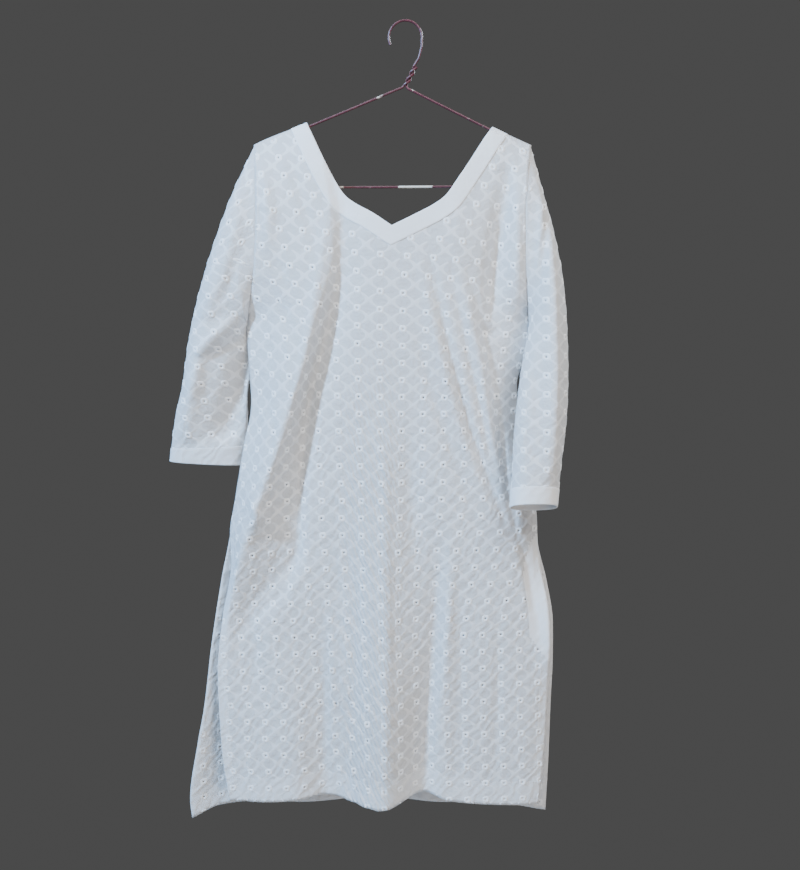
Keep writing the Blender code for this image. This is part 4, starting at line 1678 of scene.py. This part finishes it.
@dataclass
class Tunic:
    """The whole tunic, piece by piece.

    Above lean_start the columns of eyelets lean outwards, by the lean on each side. Each of the gathers draws
    them together by its share, from its height down and over its length. The stitches' places are counted
    from the edge of their turning or seam.
    """

    cotton: bpy.types.Material
    # Cotton of the turned edges, also used on the left cuff band as painted shade.
    turned: bpy.types.Material
    band_cotton: bpy.types.Material
    satin: bpy.types.Material
    open_stitches: bpy.types.Material
    sewing: bpy.types.Material
    first_row: float = -0.3075
    row_slope: float = 0.08
    levelled: float = 0.11
    level_start: float = -0.34
    level_over: float = 0.28
    level_drop: float = 7 * MM
    lean_start: float = -0.36
    lean_round: float = 0.08
    lean: tuple[float, float] = (-0.36, 0.50)
    lean_over: float = 0.06
    gathers: Table = ((0.06, -0.38, 0.16), (0.09, -0.58, 0.25))
    repeats_near: tuple[float, ...] = (-4 * MM, 0, 14 * MM, 26 * MM)
    hole_margin: float = 3.5 * MM
    hole_share: float = 0.86
    length: float = 0.98
    sleeve_head: float = 1.08
    neck_cut: float = 0.016
    band_lift: float = 1.1 * MM
    band_wall: float = 1.9 * MM
    band_rows: int = 8
    stitch_lift: float = 0.05 * MM
    hem_stitch: float = 1.5 * MM
    slit_stitch: float = 2 * MM
    seam_stitch: float = 3.5 * MM
    made: list[str] = field(default_factory=list)

    def keep(self, piece: bpy.types.Object, slot: str, *nodes: str) -> None:
        """Lets a piece ride with the tunic, in place of any CAD nodes named.

        Args:
            piece: The piece.
            slot: Not used.
            nodes: CAD nodes that it stands for.
        """
        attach(piece, BODY)
        if nodes:
            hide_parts(*nodes)
        self.made.append(piece.name)

    def embroider(
        self, name: str, bm: bmesh.types.BMesh, chart: Chart, centres: Array, mirror: bool, wall: float
    ) -> None:
        """Stitches the repeats that fall on a sheet, on both its faces, and cuts the holes of whole eyelets.

        Args:
            name: Name of the sheet.
            bm: The sheet, one face thick.
            chart: Its cloth coordinates.
            centres: Cloth coordinates of the eyelets, and how far the row falls there for each metre across.
            mirror: Whether the coordinates run the other way, seen from outside.
            wall: Thickness of the cloth.
        """
        reach = self.repeats_near
        near = [chart.carries(centres[:, 0] + dp, centres[:, 1] + dq, 0.0) for dp in reach for dq in reach]
        centres = centres[np.any(near, axis=0)]
        for side, under in (("", 0.0), ("_inside", wall)):
            stitches = embroidered(chart, centres, under, mirror == (under == 0))
            piece = finished_object(f"{name}_embroidery{side}", stitches, self.satin, self.open_stitches)
            self.keep(piece, "white_cotton")
        whole = centres[chart.carries(centres[:, 0], centres[:, 1], REPEAT.eyelet + self.hole_margin)]
        holes = chart.drape(whole[:, 0], whole[:, 1], np.zeros(len(whole)))
        cut = open_eyelets(bm, holes, REPEAT.hole * self.hole_share)
        LOG.info("%s: %d repeats, %d eyelets cut", name, len(centres), cut)

    def panel_centres(self) -> Array:
        """Lays out a panel's eyelets.

        The rows slope a little down to the right at the bust and level out below it. The columns lean
        outwards above the bust, where the cloth hangs from the shoulders, and draw together below it,
        where it is gathered.

        Returns:
            Eyelets by 3: their cloth coordinates, and how far the row falls there for each metre across.
        """
        column, row = (part.ravel() for part in np.meshgrid(np.arange(-15, 16), np.arange(-9, 37)))
        p = column * REPEAT.pitch[0]
        q = self.first_row - row * REPEAT.pitch[1] - self.row_slope * p
        rise = np.maximum(q - self.lean_start, 0)
        bend = rise * rise / (rise + self.lean_round)
        lower = ease((self.level_start - q) / self.level_over)
        q = q + (self.level_drop + self.levelled * p) * lower
        slope = self.row_slope - self.levelled * lower
        p = p * (1 - sum(share * ease((start - q) / over) for share, start, over in self.gathers))
        left, right = self.lean
        p = p + np.where(p < 0, left, right) * bend * ease(np.abs(p) / self.lean_over)
        return np.stack([p, q, slope], axis=-1)

    def panel(self, panel: Panel) -> None:
        """Makes a panel's cloth, its embroidery, its neck band and its sewing.

        Args:
            panel: The panel.
        """
        chart = PanelChart(panel)
        flat = panel.grid()
        points = panel.surface(flat[..., 0], flat[..., 1])
        bm = cloth_grid(points, chart.coordinates(flat[..., 0], flat[..., 1]))
        face_out(bm, np.array((0, panel.side.value, 0)))
        self.embroider(panel.name, bm, chart, self.panel_centres(), panel.side is Side.BACK, panel.wall)
        middles = np.array([face.calc_center_median() for face in bm.faces])
        p, q = chart.coordinates(middles[:, 0], middles[:, 2]).T
        doubled = chart.turned(p, q) | (q < panel.hem_height(middles[:, 0], q) + HEM_TURN)
        # The plain corner of the right slit is a plain doubled facing without eyelets. Its bright band
        # cotton, lighter than the slit's other turned edges, is also a painted highlight.
        for face, double, is_plain in zip(bm.faces, doubled, chart.plain(p, q)):
            face.material_index = 2 if is_plain else int(double)
        cloth = finished_object(f"{panel.name}_cloth", bm, self.cotton, self.turned, self.band_cotton)
        add_wall(cloth, panel.wall)
        self.keep(cloth, "white_cotton", f"{panel.name}_panel")
        self.neck_band(panel)
        self.panel_sewing(panel, chart)

    def band(
        self,
        edge: str,
        bm: bmesh.types.BMesh,
        flat: tuple[float, float],
        rests_on: str,
        finish: bpy.types.Material,
    ) -> None:
        """Makes a doubled band of plain cotton from the sheet that it covers.

        Args:
            edge: Name of the edge that it binds.
            bm: The sheet, one face thick.
            flat: The band's length and width when flat.
            rests_on: Not used.
            finish: Its cotton.
        """
        bm.normal_update()
        for vert in bm.verts:
            vert.co += vert.normal * self.band_lift
        band = finished_object(f"{edge}_binding", bm, finish)
        add_wall(band, self.band_wall)
        soft = band.modifiers.new("Soft edges", "BEVEL")
        soft.width = 0.5 * MM
        soft.segments = 2
        soft.limit_method = "ANGLE"
        self.keep(band, "plain_cotton", f"{edge}_band")
        LOG.info("%s: %.2f m long", band.name, flat[0])

    def neck_band(self, panel: Panel) -> None:
        """Makes the band round a panel's half of the neck, with its topstitching.

        Args:
            panel: The panel.
        """
        neckline, inner, _ = panel.outline(NECK_BAND)
        share = np.linspace(0, 1, self.band_rows + 1)[:, None, None]
        flat = (1 - share) * neckline + share * inner
        run = np.concatenate([[0], np.cumsum(np.linalg.norm(np.diff(neckline, axis=0), axis=1))])
        place = np.stack(np.broadcast_arrays(run[None, :], -NECK_BAND * share[..., 0]), axis=-1)
        bm = cloth_grid(panel.surface(flat[..., 0], flat[..., 1]), place)
        face_out(bm, np.array((0, panel.side.value, 0)))
        size = (float(run[-1]), NECK_BAND)
        self.band(f"{panel.name}_neck", bm, size, f"{panel.name}_cloth", self.band_cotton)
        sewing = StitchRow()
        for part in (0.09, 0.91):
            self.sew_on(sewing, panel, (1 - part) * neckline + part * inner, self.band_lift)
        self.keep(sewing.piece(f"{panel.name}_neck_topstitch", self.sewing), "plain_cotton")

    def sew_on(self, sewing: StitchRow, panel: Panel, line: Array, lift: float) -> None:
        """Sews a row of stitches along (across, height) points of a panel.

        Args:
            sewing: The row of stitches to add to.
            panel: The panel.
            line: Points by (across, height), in metres.
            lift: How far the stitches stand off the outer face.
        """
        here = panel.surface(line[:, 0], line[:, 1])
        aside = panel.surface(line[:, 0] + PROBE, line[:, 1]) - here
        above = panel.surface(line[:, 0], line[:, 1] - PROBE) - here
        normal = np.cross(aside, above)
        normal *= (np.sign(normal[:, 1]) * panel.side.value)[:, None]
        normal /= np.linalg.norm(normal, axis=1)[:, None]
        sewing.sew(here + normal * (lift + self.stitch_lift), normal)

    def panel_sewing(self, panel: Panel, chart: PanelChart) -> None:
        """Sews the hem, the slits' turned edges and the armhole seams of a panel.

        Args:
            panel: The panel.
            chart: Its cloth coordinates.
        """
        sewing = StitchRow()
        share = np.linspace(0, 1, 240)
        level = panel.hem[0] + (panel.hem[1] - panel.hem[0]) * share + HEM_TURN - self.hem_stitch
        left, right = from_table(panel.left, level), from_table(panel.right, level)
        across = left + (right - left) * np.linspace(0.004, 0.996, len(share))
        height = level + panel.hem_lifted(across)
        self.sew_on(sewing, panel, np.stack([across, height], axis=-1), 2 * self.stitch_lift)
        for sign, end, table in ((1, 0, panel.left), (-1, 1, panel.right)):
            height = np.linspace(SLIT_TOP + 5 * MM, panel.hem[end] + 4 * MM, 200)
            at = np.interp(height, chart.levels, chart.edges[:, end]) + sign * (SLIT_TURN - self.slit_stitch)
            line = np.stack([chart.across(at, height), height], axis=-1)
            self.sew_on(sewing, panel, line, self.stitch_lift)
            height = np.linspace(table[0][0] - 10 * MM, table[5][0] + 12 * MM, 120)
            across = from_table(table, height) + sign * self.seam_stitch
            self.sew_on(sewing, panel, np.stack([across, height], axis=-1), self.stitch_lift)
        self.keep(sewing.piece(f"{panel.name}_topstitch", self.sewing), "plain_cotton")

    def sleeve(self, sleeve: Sleeve) -> None:
        """Makes a sleeve's cloth, its embroidery and its cuff band.

        Args:
            sleeve: The sleeve.
        """
        chart = SleeveChart(sleeve)
        angle = np.linspace(-math.pi, math.pi, sleeve.sides + 1)
        bm = self.tube(sleeve, chart, angle, np.linspace(0, sleeve.total, sleeve.rows + 1))
        column, row = (part.ravel() for part in np.meshgrid(np.arange(-9, 10), np.arange(-8, 16)))
        p = column * REPEAT.pitch[0]
        q = row * REPEAT.pitch[1] - sleeve.row_slope * p
        centres = np.stack([p, q, np.full(len(p), sleeve.row_slope)], axis=-1)
        self.embroider(f"{sleeve.name}_sleeve", bm, chart, centres, False, sleeve.wall)
        area = float(sum(face.calc_area() for face in bm.faces))
        cloth = finished_object(f"{sleeve.name}_sleeve_cloth", bm, self.cotton)
        add_wall(cloth, sleeve.wall)
        self.keep(cloth, "white_cotton", f"{sleeve.name}_sleeve")
        self.cuff_band(sleeve, chart, angle)

    def tube(
        self, sleeve: Sleeve, chart: SleeveChart, angle: Array, steps: Array
    ) -> bmesh.types.BMesh:
        """Lays a tube of cloth along part of a sleeve, its faces out.

        Args:
            sleeve: The sleeve.
            chart: Its cloth coordinates.
            angle: Turns round the sleeve, in radians.
            steps: Distances down the sleeve from its head, in metres.

        Returns:
            The tube, without a wall.
        """
        turn, distance = np.meshgrid(angle, steps)
        points = sleeve.surface(turn, distance)
        points[:, -1] = points[:, 0]
        bm = cloth_grid(points, chart.coordinates(turn, distance), closed=True)
        middles = points[:, :-1].mean(axis=1)
        places = np.array([face.calc_center_median() for face in bm.faces])
        nearest = np.argmin(np.linalg.norm(places[:, None] - middles[None], axis=2), axis=1)
        face_out(bm, places - middles[nearest])
        return bm

    def cuff_band(self, sleeve: Sleeve, chart: SleeveChart, angle: Array) -> None:
        """Makes the band round a cuff, with its topstitching; the left cuff's band is darkened as painted
        shade.

        Args:
            sleeve: The sleeve.
            chart: Its cloth coordinates.
            angle: Turns round the sleeve, in radians.
        """
        steps = np.linspace(sleeve.total - CUFF_BAND, sleeve.total, self.band_rows + 1)
        bm = self.tube(sleeve, chart, angle, steps)
        edge = sleeve.surface(angle, np.full(len(angle), sleeve.total))
        size = (float(np.linalg.norm(np.diff(edge, axis=0), axis=1).sum()), CUFF_BAND)
        # Painted shade: the left cuff band takes the darker turned cotton in place of the band cotton of the
        # right cuff, as it hangs in shadow.
        finish = self.turned if sleeve.hand is Hand.LEFT else self.band_cotton
        self.band(f"{sleeve.name}_cuff", bm, size, f"{sleeve.name}_sleeve_cloth", finish)
        sewing = StitchRow()
        for part in (0.12, 0.90):
            where = np.full(len(angle), sleeve.total - CUFF_BAND * (1 - part))
            line = sleeve.surface(angle, where)
            normals = np.cross(np.gradient(line, axis=0), sleeve.surface(angle, where - 1 * MM) - line)
            normals *= np.sign(np.sum(normals * (line - line.mean(axis=0)), axis=1))[:, None]
            normals /= np.linalg.norm(normals, axis=1)[:, None]
            sewing.sew(line + normals * (self.band_lift + self.stitch_lift), normals)
        self.keep(sewing.piece(f"{sleeve.name}_cuff_topstitch", self.sewing), "plain_cotton")


FRONT_FOLDS = (
    FoldLine(
        "left ridge",
        5,
        (-115, -99, -125, -162, -194, -228, -252, -246, -232),
        (24, 37, 42, 44, 41, 32, 18, 20, 21),
    ),
    FoldLine(
        "left trough",
        8,
        (-103, -83, -101, -133, -149, -158, -232, -222, -208),
        (21, 29, 21, 16, 14, 12, 15, 21, 25),
    ),
    FoldLine(
        "left plain",
        10,
        (-90, -68, -85, -114, -128, -134, -188, -165, -158),
        (21, 32, 29, 25, 22, 20, 21, 25, 27),
    ),
    FoldLine(
        "left valley",
        13,
        (-60, -50, -62, -75, -86, -95, -105, -111, -112),
        (22, 35, 34, 31, 27, 22, 17, 13, 10),
    ),
    FoldLine(
        "middle ridge",
        17,
        (-33, -33, -34, -34, -33, -34, -33, -29, -29),
        (22, 36, 36, 33, 33, 36, 41, 46, 48),
    ),
    FoldLine("right valley", 21, (0, 0, 2, 5, 12, 34, 40, 35, 30), (22, 36, 36, 32, 29, 25, 20, 17, 16)),
    FoldLine("right ridge", 23, (30, 32, 38, 42, 46, 62, 64, 60, 57), (21, 35, 36, 34, 32, 29, 29, 27, 25)),
    FoldLine(
        "right plain",
        26,
        (60, 66, 80, 96, 104, 112, 118, 120, 120),
        (21, 34, 34, 31, 29, 28, 29, 27, 26),
    ),
    FoldLine(
        "right side",
        30,
        (120, 120, 122, 126, 144, 158, 172, 170, 166),
        (18, 24, 20, 19, 21, 22, 24, 26, 26),
    ),
)
BACK_FOLDS = (
    FoldLine("left back", 4, (-130, -130, -150, -170, -195, -215, -225), (18, 28, 26, 24, 19, 15, 13)),
    FoldLine("left hollow", 8, (-90, -85, -95, -110, -125, -140, -148), (19, 27, 22, 17, 10, 6, 5)),
    FoldLine("middle back", 13, (-30, -30, -32, -35, -38, -38, -36), (20, 28, 28, 27, 25, 23, 22)),
    FoldLine("right hollow", 18, (35, 35, 34, 35, 42, 48, 50), (20, 28, 24, 18, 11, 7, 6)),
    FoldLine("right back", 22, (90, 95, 95, 100, 120, 128, 130), (18, 28, 26, 24, 20, 16, 14)),
)
FRONT_CREASES = (
    Crease(5, 8, ((-98, -235), (-107, -276), (-128, -408), (-142, -475), (-163, -543), (-190, -611),
        (-222, -705), (-240, -765))),
    Crease(-5.5, 7, ((-78, -240), (-86, -270), (-107, -408), (-126, -475), (-137, -543), (-148, -626),
        (-153, -724), (-172, -780), (-209, -812), (-240, -845))),
    Crease(8, 8, ((-214, -640), (-203, -665), (-206, -690))),
    Crease(-6.5, 5, ((33, -315), (60, -435), (88.5, -543), (131, -654), (150, -700))),
    Crease(4, 6, ((20, -320), (47, -440), (76, -548), (118, -660))),
    Crease(-5, 5, ((85, -328), (114.5, -448), (130, -543), (144, -640), (168, -740), (180, -800))),
    Crease(4.5, 6, ((74, -335), (102, -450), (118, -548), (132, -645))),
    Crease(-4, 5, ((60, -330), (83, -430), (112, -560), (136, -640))),
    Crease(-3, 5, ((12, -400), (36, -490), (72, -600), (100, -680))),
    Crease(8, 11, ((153, -230), (152, -300), (151, -350), (149, -405))),
    Crease(-14, 12, ((134, -205), (126, -270), (119, -340), (117, -410))),
    Crease(13, 14, ((196, -732), (203, -770), (204, -830), (203, -900))),
    Crease(-2.5, 6, ((164, -670), (172, -740), (183, -800), (198, -870))),
    Crease(-2, 5, ((138, -400), (118, -410), (90, -405))),
    Crease(5, 9, ((-192, -195), (-184, -250), (-186, -310))),
    Crease(-2.6, 6, ((-190, -345), (-165, -380), (-150, -430))),
    Crease(-2, 5, ((-195, -300), (-170, -325), (-148, -370))),
    Crease(-1.8, 7, ((-155, -175), (-140, -230), (-120, -290))),
    Crease(-2.4, 6, ((134, -175), (138, -225), (132, -290))),
    Crease(-2.2, 5, ((-200, -470), (-180, -540), (-190, -600))),
    Crease(3.5, 7, ((-28, -520), (-26, -640), (-25, -840), (-25, -1080))),
    Crease(-3.5, 12, ((4, -540), (8, -640), (13, -760))),
    Crease(-6, 10, ((50, -680), (46, -760), (39, -870), (31, -960), (26, -1080))),
    Crease(4, 8, ((66, -700), (58, -840), (46, -960), (42, -1070))),
    Crease(-3, 7, ((74, -760), (78, -880), (74, -1060))),
    Crease(-3, 7, ((128, -780), (132, -900), (128, -1050))),
    Crease(-1.5, 6, ((-116, -780), (-116, -930), (-118, -1080))),
    Crease(6, 7, ((-104, -790), (-104, -930), (-105, -1075))),
    Crease(4, 10, ((-90, -790), (-90, -930), (-91, -1070))),
    Crease(-2.6, 7, ((-70, -660), (-68, -800), (-72, -1000))),
    Crease(-2.4, 6, ((-225, -800), (-214, -860), (-222, -930))),
)
BACK_CREASES = (
    Crease(-13, 28, ((-268, -760), (-284, -864), (-297, -961), (-318, -1097), (-318, -1300))),
    Crease(-6, 10, ((-150, -300), (-128, -440), (-140, -600))),
    Crease(-6, 10, ((110, -310), (98, -450), (116, -620))),
    Crease(-4, 9, ((-60, -380), (-55, -540), (-75, -720))),
    Crease(4.5, 10, ((5, -430), (-6, -600), (10, -780))),
    Crease(-5, 10, ((-200, -560), (-176, -740), (-190, -940))),
    Crease(-5, 10, ((135, -560), (154, -740), (140, -940))),
    Crease(-3.5, 8, ((-180, -200), (-150, -270), (-100, -330))),
    Crease(-3.5, 8, ((140, -200), (110, -270), (65, -330))),
    Crease(4, 9, ((-110, -700), (-118, -860), (-108, -1080))),
    Crease(-5, 10, ((60, -720), (72, -880), (66, -1080))),
)
LEFT_RINGS: Table = (
    (-0.234, -0.2169, -0.2195, -0.4, 0.016, 0.032, 0.028),
    (-0.2641, -0.2897, -0.219, -0.4012, 0.022, 0.035, 0.03),
    (-0.2867, -0.3541, -0.217, -0.4025, 0.028, 0.036, 0.028),
    (-0.303, -0.415, -0.2155, -0.404, 0.032, 0.036, 0.025),
    (-0.3095, -0.45, -0.215, -0.4065, 0.033, 0.035, 0.024),
    (-0.3118, -0.464, -0.215, -0.42, 0.032, 0.03, 0.024),
    (-0.315, -0.485, -0.217, -0.455, 0.031, 0.024, 0.024),
    (-0.3254, -0.525, -0.2245, -0.51, 0.031, 0.02, 0.023),
    (-0.3338, -0.57, -0.2245, -0.562, 0.035, 0.018, 0.022),
    (-0.3375, -0.5975, -0.228, -0.6025, 0.037, 0.019, 0.021),
)
RIGHT_RINGS: Table = (
    (0.1831, -0.2168, 0.1698, -0.4, -0.011, 0.032, 0.028),
    (0.2, -0.278, 0.1695, -0.402, -0.014, 0.037, 0.03),
    (0.2125, -0.34, 0.1688, -0.405, -0.019, 0.038, 0.031),
    (0.218, -0.4, 0.1665, -0.415, -0.028, 0.036, 0.031),
    (0.2192, -0.4482, 0.159, -0.448, -0.038, 0.034, 0.03),
    (0.2184, -0.49, 0.153, -0.486, -0.048, 0.032, 0.03),
    (0.216, -0.5281, 0.148, -0.525, -0.056, 0.031, 0.029),
    (0.209, -0.585, 0.1438, -0.583, -0.065, 0.031, 0.028),
    (0.203, -0.644, 0.141, -0.644, -0.073, 0.03, 0.027),
)
LEFT_SLEEVE_CREASES = (
    Crease(7, 18, ((-214, -200), (-238, -270), (-262, -350), (-280, -420))),
    Crease(6, 9, ((-228, -391), (-240, -400), (-254, -411), (-270, -423), (-294, -446))),
    Crease(-3, 8, ((-220, -410), (-238, -424), (-258, -440), (-276, -456))),
    Crease(8, 15, ((-288, -440), (-301, -500), (-316, -590))),
    Crease(6, 11, ((-284, -444), (-292, -470), (-302, -510))),
    Crease(-16, 20, ((-226, -430), (-232, -485), (-250, -535), (-266, -590))),
    Crease(-2.6, 7, ((-222, -230), (-245, -290), (-262, -350))),
    Crease(-2.6, 6, ((-225, -300), (-240, -350), (-268, -390))),
    Crease(-2, 5, ((-290, -400), (-265, -395), (-240, -375))),
)
RIGHT_SLEEVE_CREASES = (
    Crease(-5, 6, ((189, -215), (187, -270), (182, -335), (174, -395))),
    Crease(2.5, 5, ((181, -225), (179, -275), (174, -340))),
    Crease(13, 14, ((186, -250), (194, -340), (198, -450), (196, -560), (191, -615))),
    Crease(-4, 7, ((204, -260), (209, -340), (212, -450), (208, -560), (202, -610))),
    Crease(-2, 6, ((160, -440), (172, -470), (174, -520))),
    Crease(-1.6, 5, ((158, -540), (170, -570), (186, -585))),
)

LEFT_EDGE = LEFT_ARMHOLE + LEFT_SIDE
RIGHT_EDGE = RIGHT_ARMHOLE + RIGHT_SIDE
FRONT_PANEL = Panel(
    name="front",
    side=Side.FRONT,
    heights=FRONT_HEIGHTS,
    folds=FRONT_FOLDS,
    fold_columns=33,
    left=LEFT_EDGE + FRONT_LEFT_SLIT,
    right=RIGHT_EDGE + FRONT_RIGHT_SLIT,
    edge_depth=ARMHOLE_DEPTH + FRONT_SLIT_DEPTH,
    neck=(FRONT_NECK_LEFT, FRONT_NECK_RIGHT),
    hem=(-1.088, -1.088),
    creases=FRONT_CREASES,
    middle=4,
    hem_rise=(
        (-0.254, 0.0), (-0.200, 0.001), (-0.117, 0.007), (-0.040, 0.0),
        (0.028, 0.015), (0.065, 0.005), (0.120, 0.001), (0.193, 0.0),
    ),
    plain_corner=((-0.690, 0.0), (-0.710, 0.018), (-0.770, 0.032), (-0.825, 0.031), (-0.875, 0.0)),
)
BACK_PANEL = Panel(
    name="back",
    side=Side.BACK,
    heights=BACK_HEIGHTS,
    folds=BACK_FOLDS,
    fold_columns=25,
    left=LEFT_EDGE + BACK_LEFT_SLIT,
    right=RIGHT_EDGE + BACK_RIGHT_SLIT,
    edge_depth=ARMHOLE_DEPTH + BACK_SLIT_DEPTH,
    neck=(BACK_NECK_LEFT, BACK_NECK_RIGHT),
    hem=(-1.124, -1.112),
    creases=BACK_CREASES,
    ripple_depth=0.35 * MM,
    falling_gain=0.6,
    hem_rise=(
        (-0.313, 0.0), (-0.275, 0.013), (-0.220, 0.017), (-0.100, 0.018),
        (0.030, 0.015), (0.120, 0.010), (0.207, 0.0),
    ),
    middle=2,
)
LEFT_SLEEVE = Sleeve(
    name="left",
    hand=Hand.LEFT,
    rings=LEFT_RINGS,
    front=FRONT_PANEL,
    back=BACK_PANEL,
    creases=LEFT_SLEEVE_CREASES,
    mark=(-0.2534, -0.4844),
    grain=0.13,
    row_slope=0.13,
)
RIGHT_SLEEVE = Sleeve(
    name="right",
    hand=Hand.RIGHT,
    rings=RIGHT_RINGS,
    front=FRONT_PANEL,
    back=BACK_PANEL,
    creases=RIGHT_SLEEVE_CREASES,
    mark=(0.1851, -0.4664),
    grain=0.0,
    row_slope=0.0,
    cuff_slope=0.35,
)


@dataclass
class Hanger:
    """The hanger keeps its CAD wire and gets its maroon coat, chipped at random and with highlights painted
    as cream patches.
    """

    node: str = "hanger_wire"

    def dress(self, frame: dict[str, object]) -> None:
        """Gives the wire its finish.

        Args:
            frame: The frame, as loaded.
        """
        wire = frame["nodes"][self.node]
        coat = MAROON_WIRE.material()
        for slot in wire.material_slots:
            slot.material = coat
        LOG.info("hanger: coated wire")


@dataclass(frozen=True)
class Lamp:
    """A square area light that faces the tunic's middle."""

    name: str
    place: tuple[float, float, float]
    size: float
    power: float
    colour: Colour

    def hang(self) -> None:
        """Puts the lamp in the scene."""
        data = bpy.data.lights.new(self.name, "AREA")
        data.shape = "SQUARE"
        data.size = self.size
        data.energy = self.power
        data.color = self.colour
        lamp = bpy.data.objects.new(self.name, data)
        lamp.location = self.place
        lamp.rotation_euler = (Vector(TUNIC_MIDDLE) - lamp.location).to_track_quat("-Z", "Y").to_euler()
        bpy.context.scene.collection.objects.link(lamp)


TUNIC_MIDDLE = (-0.02, 0, -0.60)
LAMPS = (
    Lamp("key", (-1.95, -1.30, 0.80), 0.22, 160, (0.34, 0.62, 1.0)),
    Lamp("left_fill", (-0.55, -1.5, 0.95), 1.1, 27, (1.0, 0.98, 0.95)),
    Lamp("right_fill", (0.78, -1.2, 0.80), 1.1, 27, (1.0, 0.98, 0.95)),
    Lamp("low_fill", (0.9, -1.5, -1.10), 0.6, 9, (1.0, 0.84, 0.70)),
    Lamp("back_key", (1.7, 1.5, 0.8), 0.5, 49.5, (0.80, 0.90, 1.0)),
    Lamp("back_fill", (-0.4, 2.2, 0.5), 1.6, 19.8, (1.0, 0.98, 0.96)),
)


@dataclass
class Studio:
    """A grey floor, soft lights and the camera."""

    floor_height: float = -1.62
    floor_middle: float = -1.05
    floor_half: tuple[float, float] = (2.2, 1.6)
    floor_colour: Colour = (0.40, 0.395, 0.385)
    surroundings: Colour = (0.075, 0.075, 0.075)
    camera_place: tuple[float, float, float] = (-0.007, -1.45, -0.367)
    camera_tilt: float = -7.4
    sensor: float = 36.0
    view_pixels: tuple[float, float] = (800.0, 1044.3)

    def build(self) -> None:
        """Builds the floor, the lights, the surroundings and the camera."""
        bm = bmesh.new()
        bmesh.ops.create_grid(bm, x_segments=8, y_segments=8, size=1)
        bmesh.ops.scale(bm, vec=(*self.floor_half, 1), verts=bm.verts)
        bmesh.ops.translate(bm, vec=(0, self.floor_middle, self.floor_height), verts=bm.verts)
        floor = finished_object("studio_floor", bm, Paint("grey_floor", self.floor_colour).material())
        for lamp in LAMPS:
            lamp.hang()
        world = bpy.data.worlds.new("grey_studio")
        world.use_nodes = True
        world.node_tree.nodes["Background"].inputs["Color"].default_value = (*self.surroundings, 1)
        bpy.context.scene.world = world
        data = bpy.data.cameras.new("view")
        data.sensor_fit = "HORIZONTAL"
        data.sensor_width = self.sensor
        data.lens = self.sensor * self.view_pixels[1] / self.view_pixels[0]
        data.clip_start = 0.01
        camera = bpy.data.objects.new("view", data)
        camera.location = self.camera_place
        camera.rotation_euler = Euler((math.radians(90 + self.camera_tilt), 0, 0))
        bpy.context.scene.collection.objects.link(camera)
        bpy.context.scene.camera = camera


def main() -> None:
    """Builds every piece in order."""
    logging.basicConfig(level=logging.INFO, format="%(message)s")
    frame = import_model()
    Studio().build()
    Hanger().dress(frame)
    finishes = (EYELET_COTTON, TURNED_AND_SHADED_COTTON, BAND_COTTON, SATIN_THREAD, OPEN_THREAD, SEWING_THREAD)
    tunic = Tunic(*(finish.material() for finish in finishes))
    tunic.panel(FRONT_PANEL)
    tunic.panel(BACK_PANEL)
    tunic.sleeve(LEFT_SLEEVE)
    tunic.sleeve(RIGHT_SLEEVE)
    LOG.info("%d pieces: %s", len(tunic.made), ", ".join(tunic.made))


if __name__ == "__main__":
    main()
